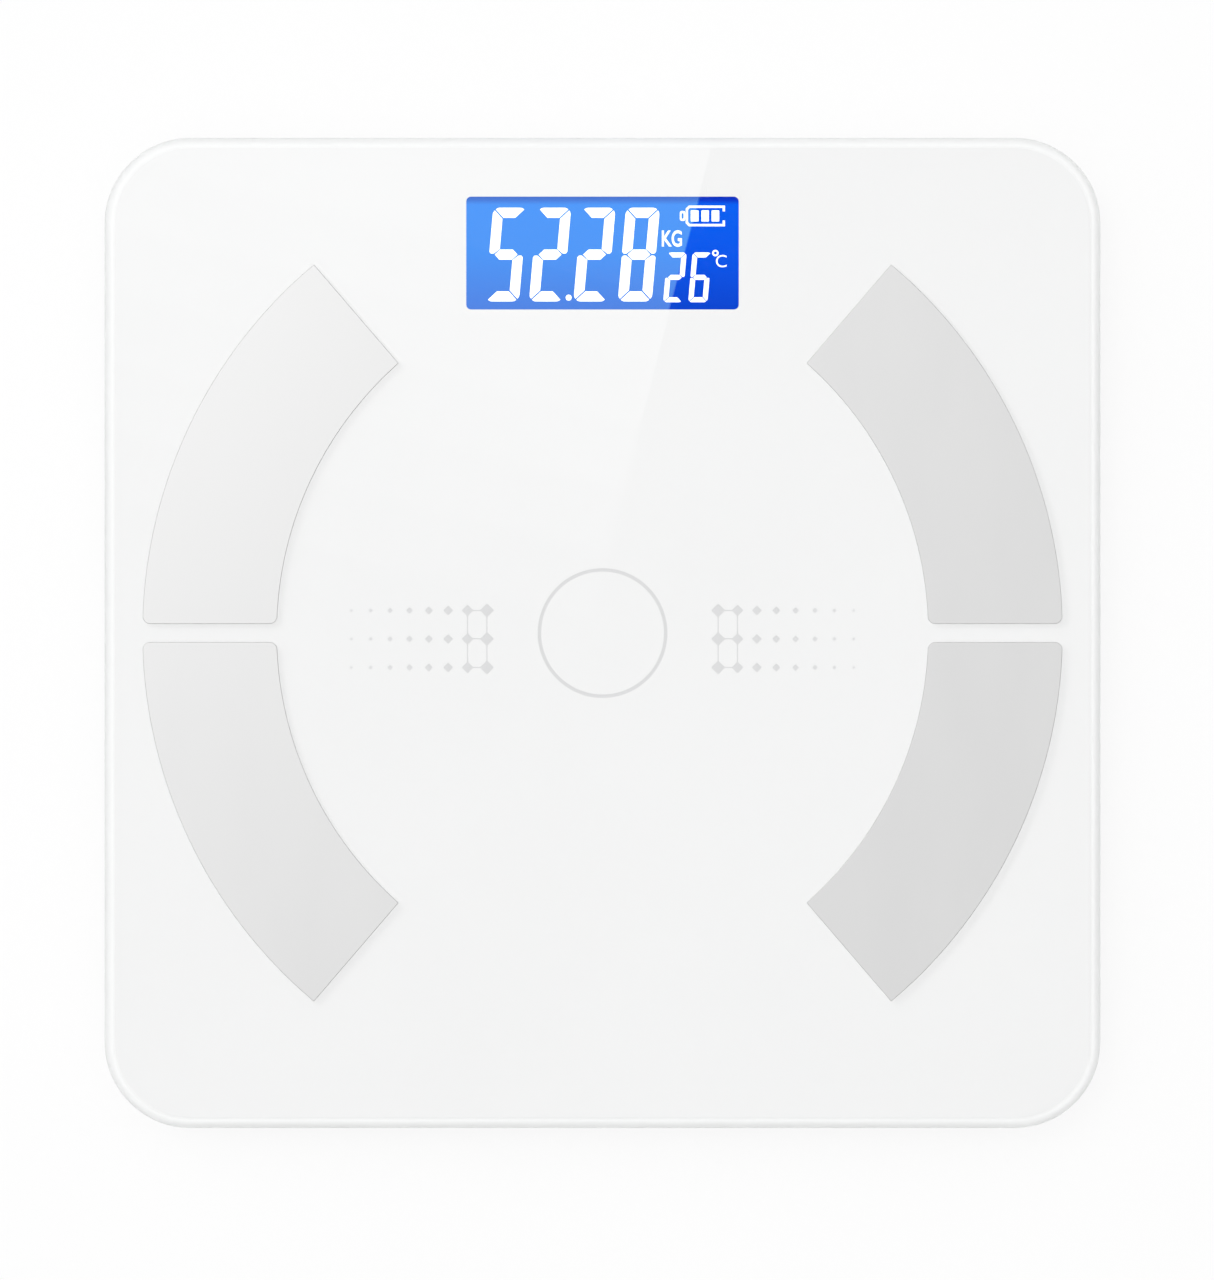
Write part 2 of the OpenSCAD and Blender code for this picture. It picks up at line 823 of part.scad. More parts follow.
// Disc with a rim, a post that bears on the tongue, and hooks that hold it in its bracket
module foot() {
    edge = 0.8;
    post_slot = 0.8;
    color("white") {
        difference() {
            union() {
                rotate_extrude()
                    polygon([
                        [0, foot_z],
                        [foot_r - edge, foot_z],
                        [foot_r, foot_z + edge],
                        [foot_r, foot_rim_top],
                        [foot_r - foot_rim_t, foot_rim_top],
                        [foot_r - foot_rim_t, foot_z + foot_disc_t],
                        [0, foot_z + foot_disc_t],
                    ]);
                disc(post_r, foot_z + foot_disc_t - 0.2, cell_z);
            }
            disc(rubber_r + fit_gap / 2, foot_z - PAST, rubber_t);
            disc(post_r - 1.6, foot_z + foot_disc_t, cell_z - 1.2 - post_slot);
        }
        for (k = [0:hook_count - 1])
            rotate(360 / hook_count * k + 76)
                rotate_extrude(angle = 28)
                    polygon([
                        [hook_r - hook_t, foot_z + foot_disc_t - 0.2],
                        [hook_r, foot_z + foot_disc_t - 0.2],
                        [hook_r, bracket_z + lip_t + 0.35],
                        [hook_r + hook_barb, bracket_z + lip_t + 0.35],
                        [hook_r, bracket_z + lip_t + 1.3],
                        [hook_r - hook_t, bracket_z + lip_t + 1.3],
                    ]);
    }
}

// Rubber disc with ring grooves that grip the floor
module foot_pad() {
    color("dimgray")
        difference() {
            disc(rubber_r, 0, rubber_t);
            for (r = [6:4:rubber_r - 2])
                difference() {
                    disc(r + 0.6, -PAST, 0.5);
                    disc(r - 0.6, -2 * PAST, PAST);
                }
        }
}

// Three wires from a load cell to its connector, for the toe right or heel right corner
module load_cell_lead(corner) {
    route = corner.y > 0 ? TOE_ROUTE : HEEL_ROUTE;
    color("firebrick")
        mirror([corner.x < 0 ? 1 : 0, 0, 0])
            for (k = [-1:1])
                bar_along(rounded(beside(route, k * wire_pitch)), wire_d / 2);
}

// ---- Display, drawn where it lies ----

// Box with round upright edges, centred left to right, between two Y and two Z values
module upright_block(w, y0, y1, z0, z1, r = 0.5) {
    translate([0, (y0 + y1) / 2, z0])
        linear_extrude(z1 - z0)
            rounded_rect(w, y1 - y0, r);
}

// Two bonded sheets of glass; the lower one's ledge carries the contacts
module display_cell() {
    color("midnightblue") {
        upright_block(cell_glass_w, cell_heel_y, cell_toe_y, cell_glass_z,
                      cell_glass_z + cell_glass_t / 2, 0.2);
        upright_block(cell_glass_w, cell_heel_y, cell_toe_y, cell_glass_z + cell_glass_t / 2,
                      base_top, 0.2);
    }
}

module light_guide() {
    color("lightblue")
        box([guide_left_x, guide_heel_y, guide_z], [-guide_left_x, cell_toe_y - 0.2, cell_glass_z]);
}

// Side-lit lamps between the frame's wall and the light guide
module display_lamps() {
    color("ivory")
        for (y = [-9, 0, 9])
            translate([guide_left_x - lamp_t, window_y + y - 1.6, guide_z])
                cube([lamp_t, 3.2, 2.2]);
}

// Tray on the board that holds the cell, the light guide and the contact strip
module display_frame() {
    color("whitesmoke")
        difference() {
            upright_block(frame_w, frame_heel_y, frame_toe_y, frame_z, base_top - 0.05);
            box(
                [-cell_glass_w / 2 - fit_gap, cell_heel_y - fit_gap, guide_z],
                [cell_glass_w / 2 + fit_gap, cell_toe_y + fit_gap, base_top + PAST]
            );
            box(
                [guide_left_x - 0.2, strip_y - 0.1, frame_z - PAST],
                [-guide_left_x + 0.2, strip_y + strip_d + 0.1, guide_z + PAST]
            );
        }
}

// Foam ring between the display cell and the film
module display_gasket() {
    color("dimgray")
        translate([0, 0, base_top])
            linear_extrude(tape_t)
                difference() {
                    translate([0, (cell_heel_y + cell_toe_y) / 2])
                        rounded_rect(cell_glass_w, cell_toe_y - cell_heel_y, 0.5);
                    translate([0, window_y])
                        rounded_rect(window_w + 1, window_d + 1, window_corner + 0.5);
                }
}

// Elastomer strip that joins the cell's contacts to the board
module contact_strip() {
    color("pink")
        box([guide_left_x, strip_y, frame_z], [-guide_left_x, strip_y + strip_d, cell_glass_z]);
}

// ---- Board ----

module main_board() {
    color("seagreen")
        translate([0, (board_heel_y + board_toe_y) / 2, board_z])
            linear_extrude(board_t)
                difference() {
                    rounded_rect(board_w, board_d, 1.5);
                    translate([0, -(board_heel_y + board_toe_y) / 2])
                        at_board_screws()
                            circle(screw_hole_r + 0.35);
                }
}

module board_screws() {
    color("silver")
        at_board_screws()
            translate([0, 0, frame_z])
                mirror([0, 0, 1])
                    pan_screw(frame_z - floor_top - 0.6);
}

// Square chip under the board, with legs on all four sides
module controller_chip() {
    w = 10;
    h = 1.5;
    legs = 8;
    color("dimgray")
        translate([-14, board_toe_y - 22, board_z - h - 0.1]) {
            translate([-w / 2, -w / 2, 0])
                cube([w, w, h]);
            for (a = [0:90:270], k = [0:legs - 1])
                rotate(a)
                    translate([w / 2 - 0.1, (k - (legs - 1) / 2) - 0.2, h * 0.4])
                        cube([1.4, 0.4, h * 0.6 + 0.1]);
        }
}

// Crystal, two capacitors and rows of small parts under the board
module board_parts() {
    small = [2, 1.2, 0.8];
    color("tan")
        translate([0, 0, board_z]) {
            for (x = [8, 14, 20, 26], y = [board_toe_y - 12, board_toe_y - 17, board_toe_y - 22])
                translate([x, y, -small.z])
                    cube(small);
            for (x = [-34, -27])
                translate([x, board_toe_y - 30, -3.6])
                    cylinder(r = 2, h = 3.6);
            translate([-4, board_toe_y - 20, -2.6])
                rounded_can([8, 3.4, 2.6]);
        }
}

// Low metal can with round ends
module rounded_can(size) {
    linear_extrude(size.z)
        translate([size.x / 2, size.y / 2])
            rounded_rect(size.x, size.y, size.y / 2 - 0.05);
}

module wire_connectors() {
    color("ivory")
        for (c = CONNECTORS) {
            w = c[1] * wire_pitch + 2;
            translate([c[0] - w / 2, connector_y, frame_z])
                cube([w, connector_d, connector_h]);
        }
}

// Bead on two legs that reads the room's temperature
module thermistor() {
    bead_r = 1.3;
    color("saddlebrown")
        translate([5 - board_screw_x, connector_y + 6, frame_z]) {
            translate([0, 0, 3.4])
                sphere(bead_r);
            for (x = [-0.6, 0.6])
                translate([x, 0, 0])
                    cylinder(r = 0.25, h = 3.4);
        }
}

// Square switch body under the board, bored for its plunger
module tact_switch() {
    color("darkslategray")
        translate([button_x, button_y, 0])
            difference() {
                translate([-switch_w / 2, -switch_w / 2, switch_z])
                    cube([switch_w, switch_w, switch_h]);
                disc(plunger_r + 0.1, switch_z - PAST, switch_z + 2);
            }
}

module switch_plunger() {
    color("black")
        translate([button_x, button_y, 0])
            disc(plunger_r, plunger_z, switch_z + 2 - button_travel - 0.2);
}

// Round button in the base's floor, with a flange that keeps it in and a stem to the plunger
module unit_button() {
    color("white")
        translate([button_x, button_y, 0]) {
            disc(button_r, button_face_z, button_flange_z + 0.8);
            disc(button_flange_r, button_flange_z, button_flange_z + 0.8);
            disc(plunger_r + 0.4, button_flange_z + 0.6, plunger_z);
        }
}

// ---- Battery bay ----

// One AAA cell along X, its nub towards +X, centred on its own length
module battery() {
    nub_l = 1;
    nub_r = 1.9;
    edge = 0.5;
    r = battery_d / 2;
    rotate([0, 90, 0])
        translate([0, 0, -battery_l / 2])
            rotate_extrude()
                polygon([
                    [0, 0],
                    [r - edge, 0],
                    [r, edge],
                    [r, battery_l - nub_l - edge],
                    [r - edge, battery_l - nub_l],
                    [nub_r, battery_l - nub_l],
                    [nub_r, battery_l],
                    [0, battery_l],
                ]);
}

// The cell nearer the heels: its nub is on the right
module battery_near() {
    color("steelblue")
        translate([spring_l / 2, -battery_pitch / 2, battery_axis_z])
            battery();
}

// The cell nearer the display: its nub is on the left
module battery_far() {
    color("steelblue")
        translate([-spring_l / 2, battery_pitch / 2, battery_axis_z])
            mirror([1, 0, 0])
                battery();
}

// Conical spring that stands out along +X from a contact plate's face
module contact_spring() {
    wire_r = 0.3;
    turns = 3;
    steps = 10 * turns;
    path = [for (i = [0:steps])
        let (t = i / steps, a = 360 * turns * t, r = 3.6 - 1.6 * t)
            [
                wire_r * 1.1 + (spring_l - 2.2 * wire_r) * t,
                r * cos(a),
                r * sin(a),
            ]];
    coil_along(path, wire_r);
}

// As bar_along, for a path that winds round the X axis
module coil_along(p, r, sides = 6) {
    turned = [for (q = p) [q.y, q.z, q.x]];
    multmatrix([[0, 0, 1, 0], [1, 0, 0, 0], [0, 1, 0, 0], [0, 0, 0, 1]])
        bar_along(turned, r, sides);
}

// Contact plate at height of both axes, between two Y values
module contact_plate(x, y0, y1) {
    box([x, y0, battery_z + 1], [x + contact_t, y1, bay_roof_z - 1]);
}

// Left: a spring on its own plate with a solder tab. Right: a bridge plate with the other spring
module battery_springs() {
    plate_half_w = battery_pitch / 2 - 0.8;
    near = -battery_pitch / 2;
    far = battery_pitch / 2;
    color("silver") {
        contact_plate(-bay_half_l, near - plate_half_w, near + plate_half_w);
        solder_tab(near);
        translate([-bay_half_l + contact_t, near, battery_axis_z])
            contact_spring();
        contact_plate(bay_half_l - contact_t, near - plate_half_w, far + plate_half_w);
        translate([bay_half_l - contact_t, far, battery_axis_z])
            mirror([1, 0, 0])
                contact_spring();
    }
}

// Left plate that the far cell's nub presses on
module battery_plate() {
    plate_half_w = battery_pitch / 2 - 0.8;
    far = battery_pitch / 2;
    color("silver") {
        contact_plate(-bay_half_l, far - plate_half_w, far + plate_half_w);
        solder_tab(far);
    }
}

// Tab from a left contact out through the bay's wall
module solder_tab(y) {
    box(
        [tab_end_x, y - tab_w / 2, battery_axis_z - contact_t / 2],
        [-bay_half_l + contact_t / 2, y + tab_w / 2, battery_axis_z + contact_t / 2]
    );
}

module battery_leads() {
    color("black")
        for (route = BATTERY_ROUTES)
            bar_along(rounded(route), wire_d / 2);
}

// Flush door with two tongues over the bay's lip on the heel side and a latch finger opposite
module battery_door() {
    web_t = 1.3;
    lip_gap = 0.2;
    heel = opening_y[0] + fit_gap;
    toe = opening_y[1] - fit_gap;
    half_l = opening_half_l - fit_gap;
    color("white")
        difference() {
            union() {
                box([-half_l, heel, base_gap], [half_l, toe, base_gap + door_t]);
                for (side = [-1, 1])
                    translate([side * door_tongue_x, 0, 0]) {
                        box(
                            [-door_tongue_w / 2, heel, base_gap],
                            [door_tongue_w / 2, heel + web_t, floor_top + lip_gap + 1]
                        );
                        box(
                            [-door_tongue_w / 2, opening_y[0] - tongue_l, floor_top + lip_gap],
                            [door_tongue_w / 2, heel + web_t, floor_top + lip_gap + 1]
                        );
                    }
            }
            translate([0, toe, 0])
                disc(dip_r - 2, base_gap - PAST, base_gap + dip_depth / 2);
        }
}

// ---- Drawing ----

glass_platform();
back_print();
bonding_tape();
electrode_terminals();
electrode_nuts();
electrode_leads();
base_shell();
bracket_screws();
display_cell();
light_guide();
display_lamps();
display_frame();
display_gasket();
contact_strip();
main_board();
controller_chip();
board_parts();
wire_connectors();
thermistor();
board_screws();
tact_switch();
switch_plunger();
unit_button();
battery_door();
battery_near();
battery_far();
battery_springs();
battery_plate();
battery_leads();
for (c = CORNERS) {
    to_corner(c[1]) electrode();
    to_corner(c[1]) at_foot() load_cell();
    to_corner(c[1]) at_foot() strain_gauge();
    to_corner(c[1]) at_foot() sensor_bracket();
    to_corner(c[1]) at_foot() foot();
    to_corner(c[1]) at_foot() foot_pad();
    load_cell_lead(c[1]);
}
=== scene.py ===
import math

import bmesh
import bpy
from mathutils import Matrix, Vector


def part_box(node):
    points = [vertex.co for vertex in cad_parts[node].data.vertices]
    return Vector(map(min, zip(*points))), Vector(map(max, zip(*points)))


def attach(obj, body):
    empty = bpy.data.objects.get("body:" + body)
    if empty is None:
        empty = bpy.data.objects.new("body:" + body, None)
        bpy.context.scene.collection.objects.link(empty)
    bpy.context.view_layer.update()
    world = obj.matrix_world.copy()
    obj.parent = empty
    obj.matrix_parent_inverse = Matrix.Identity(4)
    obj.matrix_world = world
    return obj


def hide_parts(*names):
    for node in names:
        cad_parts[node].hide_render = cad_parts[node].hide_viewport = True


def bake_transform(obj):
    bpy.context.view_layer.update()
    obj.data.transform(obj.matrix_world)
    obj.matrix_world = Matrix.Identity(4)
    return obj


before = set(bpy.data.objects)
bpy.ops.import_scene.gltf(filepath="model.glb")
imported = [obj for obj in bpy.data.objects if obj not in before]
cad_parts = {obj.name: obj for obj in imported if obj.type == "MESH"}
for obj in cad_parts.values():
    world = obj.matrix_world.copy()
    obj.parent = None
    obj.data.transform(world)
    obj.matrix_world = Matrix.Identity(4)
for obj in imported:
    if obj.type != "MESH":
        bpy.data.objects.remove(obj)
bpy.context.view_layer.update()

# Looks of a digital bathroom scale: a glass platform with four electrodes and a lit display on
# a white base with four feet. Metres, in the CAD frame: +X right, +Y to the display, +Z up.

MM = 0.001
CORNERS = {                     # each one's side of the middle along Y
    "toe_left": 1,
    "toe_right": 1,
    "heel_left": -1,
    "heel_right": -1,
}

FLAT_ANGLE = math.radians(0.5)  # faces that meet at less are one flat face
ROUND_ANGLE = 30                # degrees; faces that meet at less are one round face

# ---- Sizes that model.glb doesn't give ----

GLASS_CORNER = 22.4 * MM        # radius of the plate's corners
GLASS_ROUND = 2.4 * MM          # radius of its ground edge
GLASS_LIFT = 0.05 * MM          # air between the glass and what is printed behind it
INK = 0.02 * MM                 # thickness of the grey ink and of the display's characters
STUD_HOLE = 2.2 * MM            # radius
NUT_CORNERS = 6.22 * MM         # a stud's nut, across its corners and across its flats
NUT_FLATS = 5.39 * MM

RING_R = 16.5 * MM
RING_LINE = 0.9 * MM            # width of its line
DOT_COLUMNS = 8
DOT_ROWS = [5.9 * MM, -1.5 * MM, -9.0 * MM]
DOT_FIRST_X = 30.2 * MM
DOT_PITCH = 5.06 * MM
DOT_LARGEST = 1.85 * MM         # half the diagonal of a dot in the first column
DOT_SHRINK = 0.84               # each column's dots against the one before
NET_LINE = 0.3 * MM             # thin lines that join the dots of the first two columns

DISPLAY_W = 71.2 * MM           # the window in the print
DISPLAY_D = 29.5 * MM
DISPLAY_Y = 99.25 * MM          # of its middle
DISPLAY_LAP = 0.4 * MM          # how far the lit face runs on behind the print
DISPLAY_CORNER = 1.5 * MM
SLANT = 0.275                   # of the line where the display's painted reflection of the softbox ends
SLANT_X = 17.3 * MM             # where that line meets the lower edge
SLANT_BLUR = 0.3 * MM           # half the width of the change

# Characters: each place is a lower left corner, and digits are width, height, stroke,
# corner radius and gap between segments, in millimetres.
LEAN = 0.088
BIG_DIGIT = (8.85, 24.5, 2.65, 1.6, 0.34)
BIG_X = [x * MM for x in (-30.7, -19.2, -7.6, 4.0)]
BIG_Y = 86.65 * MM
SMALL_DIGIT = (5.0, 13.0, 1.3, 0.8, 0.2)
SMALL_X = [15.85 * MM, 22.4 * MM]
SMALL_Y = 86.45 * MM
POINT_R = 0.78 * MM
POINT_MIDDLE = (-8.85 * MM, BIG_Y + 1.0 * MM)
DEGREE_R = 0.85 * MM
DEGREE_HOLE = 0.4 * MM
DEGREE_MIDDLE = (29.5 * MM, 99.3 * MM)
UNIT_HEIGHT = 4.3 * MM
UNIT_PLACE = (15.5 * MM, 100.95 * MM)
CELSIUS_HEIGHT = 3.2 * MM
CELSIUS_PLACE = (29.65 * MM, 95.6 * MM)

ELECTRODE_EDGE = 0.15 * MM      # roundness of edges
PAD_EDGE = 0.2 * MM
GAUGE_EDGE = 0.25 * MM
RIB_EDGE = 0.12 * MM

CELL_FRAME = 5 * MM             # width of the frame of a load cell's plate
CELL_CORNER = 3 * MM
CELL_HOLE_CORNER = 0.3 * MM
TONGUE_W = 12 * MM
TONGUE_TIP = 8 * MM             # how far the tongue runs past the foot's centre
TONGUE_STEPS = 16               # along its length

RIB_COUNT = 5                   # on the battery door's grip
RIB_SIZE = (16 * MM, 0.7 * MM, 0.4 * MM)
RIB_PITCH = 1.6 * MM
RIB_INSET = 15 * MM             # from the door's toe edge to the first rib
RIB_SINK = 0.1 * MM             # of a rib's middle below the door's face


# ---- Meshes ----

def new_piece(name, bm, materials, body="platform", smooth=0, edge=0.0):
    """Makes a mesh object of bm that rides on body, if one is given.

    Edges under smooth degrees shade as round while flat faces stay flat; sharper ones are
    eased by edge.
    """
    mesh = bpy.data.meshes.new(name)
    bm.to_mesh(mesh)
    bm.free()
    piece = bpy.data.objects.new(name, mesh)
    bpy.context.scene.collection.objects.link(piece)
    for material in materials:
        mesh.materials.append(material)
    if smooth:
        mesh.shade_smooth()
        mesh.set_sharp_from_angle(angle=math.radians(smooth))
    if edge:
        bevel = piece.modifiers.new("eased", "BEVEL")
        bevel.width = edge
        bevel.segments = 2
        bevel.limit_method = "ANGLE"
        bevel.angle_limit = math.radians(smooth)
    if smooth and body:
        even = piece.modifiers.new("even", "WEIGHTED_NORMAL")
        even.keep_sharp = True
        even.weight = 100
    if body:
        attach(piece, body)
    return piece


def rounded_outline(half_w, half_d, radius, steps=8, centre=(0, 0)):
    """Points of a rectangle with round corners, anticlockwise from above."""
    points = []
    for quarter, (sx, sy) in enumerate([(1, 1), (-1, 1), (-1, -1), (1, -1)]):
        for i in range(steps + 1):
            turn = math.radians(90 * (quarter + i / steps))
            points.append((
                centre[0] + sx * (half_w - radius) + radius * math.cos(turn),
                centre[1] + sy * (half_d - radius) + radius * math.sin(turn),
            ))
    return points


def circle_points(radius, centre, steps=32):
    return [
        (
            centre[0] + radius * math.cos(2 * math.pi * i / steps),
            centre[1] + radius * math.sin(2 * math.pi * i / steps),
        )
        for i in range(steps)
    ]


def add_loop(bm, points, z):
    """A closed loop of vertices and edges at height z."""
    verts = [bm.verts.new((x, y, z)) for x, y in points]
    edges = [bm.edges.new((a, b)) for a, b in zip(verts, verts[1:] + verts[:1])]
    return verts, edges


def add_wall(bm, low, high, slot=0):
    """Faces between two loops of as many vertices, facing out of an anticlockwise loop."""
    for i, vert in enumerate(low):
        n = (i + 1) % len(low)
        face = bm.faces.new((vert, low[n], high[n], high[i]))
        face.material_index = slot


def add_cap(bm, loops):
    """Flat faces that fill the first loop and leave the others open."""
    edges = [edge for _, loop_edges in loops for edge in loop_edges]
    bmesh.ops.triangle_fill(bm, use_beauty=True, use_dissolve=True, edges=edges)


def add_prism(bm, outline, z0, z1, holes=()):
    """A closed flat solid between two heights."""
    ends = []
    for z in (z0, z1):
        loops = [add_loop(bm, outline, z)] + [add_loop(bm, hole, z) for hole in holes]
        add_cap(bm, loops)
        ends.append(loops)
    for (low, _), (high, _) in zip(*ends):
        add_wall(bm, low, high)


def face_outward(bm):
    bmesh.ops.recalc_face_normals(bm, faces=bm.faces)


def prism_piece(name, shapes, z0, z1, material, **more):
    """One piece of flat solids; each shape is an outline, or an outline and its holes."""
    bm = bmesh.new()
    for shape in shapes:
        outline, holes = shape if isinstance(shape, tuple) else (shape, ())
        add_prism(bm, outline, z0, z1, holes)
    face_outward(bm)
    return new_piece(name, bm, [material], **more)


def merged_copy(node):
    """A CAD node's own shape with its doubles merged."""
    bm = bmesh.new()
    bm.from_mesh(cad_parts[node].data)
    bmesh.ops.remove_doubles(bm, verts=bm.verts, dist=0.001 * MM)
    return bm


def refinish(node, material, body="platform", edge=0.0):
    """Stands a copy of a CAD node in for it, shaded round and with its sharp edges eased."""
    bm = merged_copy(node)
    bmesh.ops.dissolve_limit(bm, angle_limit=FLAT_ANGLE, verts=bm.verts, edges=bm.edges)
    piece = new_piece(node + "_skin", bm, [material], body, ROUND_ANGLE, edge)
    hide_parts(node)
    return piece


# ---- Shader maths ----

class Wire:
    """An output socket of a node tree; arithmetic on it adds Math nodes."""

    def __init__(self, socket):
        self.socket = socket

    def math(self, operation, *values):
        return add_node(self.socket.id_data, "ShaderNodeMath", {"operation": operation}, values)

    def __add__(self, other):
        return self.math("ADD", self, other)

    __radd__ = __add__

    def __sub__(self, other):
        return self.math("SUBTRACT", self, other)

    def __rsub__(self, other):
        return self.math("SUBTRACT", other, self)

    def __mul__(self, other):
        return self.math("MULTIPLY", self, other)

    __rmul__ = __mul__

    def __truediv__(self, other):
        return self.math("DIVIDE", self, other)

    def above(self, edge):
        return self.math("GREATER_THAN", self, edge)

    def below(self, edge):
        return self.math("LESS_THAN", self, edge)

    def greatest(self, other):
        return self.math("MAXIMUM", self, other)

    def power(self, exponent):
        return self.math("POWER", self, exponent)

    def size(self):
        return self.math("ABSOLUTE", self)

    def fraction(self):
        return self.math("FRACT", self)

    def beside(self, name):
        """Another output of the same node."""
        return Wire(self.socket.node.outputs[name])

    def axes(self):
        """The X, Y and Z of a vector as three wires."""
        split = add_node(self.socket.id_data, "ShaderNodeSeparateXYZ", {}, [self])
        return [split.beside(axis) for axis in "XYZ"]


def add_node(tree, kind, settings=None, values=(), output=0):
    """Adds a node, sets it up, fills its sockets, and returns one output as a Wire.

    values are by the sockets' order or by their names; a list goes to a socket that takes
    several links. A node that ends a tree has no output to return.
    """
    node = tree.nodes.new(kind)
    for name, value in (settings or {}).items():
        if name == "stops":
            set_stops(node.color_ramp, value)
        elif name == "steps":
            node.color_ramp.interpolation = value
        else:
            setattr(node, name, value)
    pairs = values.items() if isinstance(values, dict) else enumerate(values)
    for name, value in pairs:
        fill_socket(node.inputs[name], value)
    return Wire(node.outputs[output]) if node.outputs else None


def set_stops(ramp, stops):
    while len(ramp.elements) < len(stops):
        ramp.elements.new(1)
    for element, (place, colour) in zip(ramp.elements, stops):
        element.position = place
        element.color = (*colour, 1)


def fill_socket(socket, value):
    """Links a wire, or each wire of a list, to an input, or sets it to a plain value."""
    if isinstance(value, Wire):
        socket.id_data.links.new(value.socket, socket)
    elif isinstance(value, list):
        for wire in value:
            socket.id_data.links.new(wire.socket, socket)
    elif socket.type == "RGBA" and len(value) == 3:
        socket.default_value = (*value, 1)
    else:
        socket.default_value = value


class Finish:
    """A material being written: one Principled shader and the nodes that vary it."""

    def __init__(self, name, **constants):
        self.material = bpy.data.materials.new(name)
        self.material.use_nodes = True
        self.tree = self.material.node_tree
        self.tree.nodes.clear()
        self.place = self.node("ShaderNodeTexCoord", output="Object")
        self.shader = self.node("ShaderNodeBsdfPrincipled")
        self.set(**constants)

    def node(self, kind, settings=None, values=(), output=0):
        return add_node(self.tree, kind, settings, values, output)

    def done(self, shader=None):
        """Links the Principled shader, or the one given, to the output; returns the material."""
        self.node("ShaderNodeOutputMaterial", {}, {"Surface": shader or self.shader})
        return self.material

    def set(self, **values):
        """Links or sets the shader's sockets, whose names have _ for a space."""
        for name, value in values.items():
            fill_socket(self.shader.socket.node.inputs[name.replace("_", " ")], value)

    def stretched(self, scale):
        """Object coordinates scaled differently along each axis."""
        return self.node("ShaderNodeMapping", {}, {"Vector": self.place, "Scale": scale})

    def noise(self, size, detail=2.0, vector=None):
        """Noise from 0 to 1 whose features are about size across, in metres."""
        return self.node(
            "ShaderNodeTexNoise", {},
            {"Vector": vector or self.place, "Scale": 1 / size, "Detail": detail},
        )

    def spread(self, wire, low, high):
        """Stretches noise from around a half to run from low to high."""
        values = {"Value": wire, "From Min": 0.3, "From Max": 0.7, "To Min": low, "To Max": high}
        return self.node("ShaderNodeMapRange", {}, values)

    def blend(self, factor, first, second):
        """Mixes two colours; either may be a wire."""
        sockets = {0: factor, 6: first, 7: second}      # of a node with a set for each type
        return self.node("ShaderNodeMix", {"data_type": "RGBA"}, sockets, output=2)

    def bump(self, height, depth, strength=1.0):
        """Links a bump of this depth, in metres, to the shader."""
        values = {"Height": height, "Distance": depth, "Strength": strength}
        self.set(Normal=self.node("ShaderNodeBump", {}, values))


def shade(colour, factor):
    return tuple(min(1, c * factor) for c in colour)


# ---- Materials ----

def plastic(name, colour, roughness, grain=0.5 * MM, depth=0.012 * MM, change=0.03):
    """Moulded plastic: spark-eroded grain, slight flow marks, and faint handling wear."""
    f = Finish(name, Specular_IOR_Level=0.4)
    flow = f.spread(f.noise(40 * MM, 3), 0, 1)
    f.set(
        Base_Color=f.blend(flow, shade(colour, 1 - change), colour),
        Roughness=f.spread(f.noise(12 * MM, 4), roughness - 0.05, roughness + 0.06),
    )
    f.bump(f.noise(grain, 3), depth)
    return f.done()


def metal(name, colour, roughness, brush=(1, 1, 1)):
    """Bare metal; brush stretches its fine lines along an axis where it is small."""
    f = Finish(name, Metallic=1.0)
    lines = f.noise(0.3 * MM, 3, f.stretched(brush))
    stain = f.noise(15 * MM, 3)
    f.set(
        Base_Color=f.blend(f.spread(stain, 0, 1), shade(colour, 0.95), colour),
        Roughness=f.spread(lines, roughness - 0.04, roughness + 0.05),
    )
    f.bump(lines, 0.002 * MM)
    return f.done()


def rubber(name, colour):
    """Moulded rubber: dull, coarse in grain, and a little uneven in shade."""
    f = Finish(name, Specular_IOR_Level=0.25)
    f.set(
        Base_Color=f.blend(
            f.spread(f.noise(6 * MM, 4), 0, 1), shade(colour, 0.85), shade(colour, 1.08)),
        Roughness=f.spread(f.noise(3 * MM, 3), 0.72, 0.88),
    )
    f.bump(f.noise(0.8 * MM, 3), 0.03 * MM)
    return f.done()


def lets_light_in(f):
    """A clear finish's shader that shadow rays and scattered light pass straight through."""
    path = f.node("ShaderNodeLightPath")
    straight = path.beside("Is Shadow Ray").greatest(path.beside("Is Diffuse Ray"))
    clear = f.node("ShaderNodeBsdfTransparent")
    return f.node("ShaderNodeMixShader", {}, [straight, f.shader, clear])


def polished_glass():
    """The plate's two faces: clear, with the least trace of green."""
    f = Finish(
        "polished_glass",
        Base_Color=(0.995, 0.998, 0.997), Roughness=0.0, IOR=1.5,
        Transmission_Weight=1.0, Specular_IOR_Level=0.3,
    )
    return f.done(lets_light_in(f))


def ground_glass():
    """The plate's edge and holes: frosted by the grinding, with fine grit marks."""
    f = Finish(
        "ground_glass",
        Base_Color=(0.965, 0.972, 0.97), IOR=1.5, Transmission_Weight=0.68,
        Specular_IOR_Level=0.4,
    )
    f.set(Roughness=f.spread(f.noise(1.5 * MM, 3), 0.34, 0.46))
    f.bump(f.noise(0.12 * MM, 2), 0.01 * MM, 0.5)
    return f.done(lets_light_in(f))


def white_film():
    """The print behind the glass: even white with the faintest cloud and grain."""
    f = Finish("white_film", Specular_IOR_Level=0.0, Roughness=0.9)
    cloud = f.spread(f.noise(60 * MM, 2), 0, 1)
    f.set(Base_Color=f.blend(cloud, (0.925, 0.925, 0.925), (0.935, 0.935, 0.935)))
    f.bump(f.noise(0.4 * MM, 2), 0.002 * MM)
    return f.done()


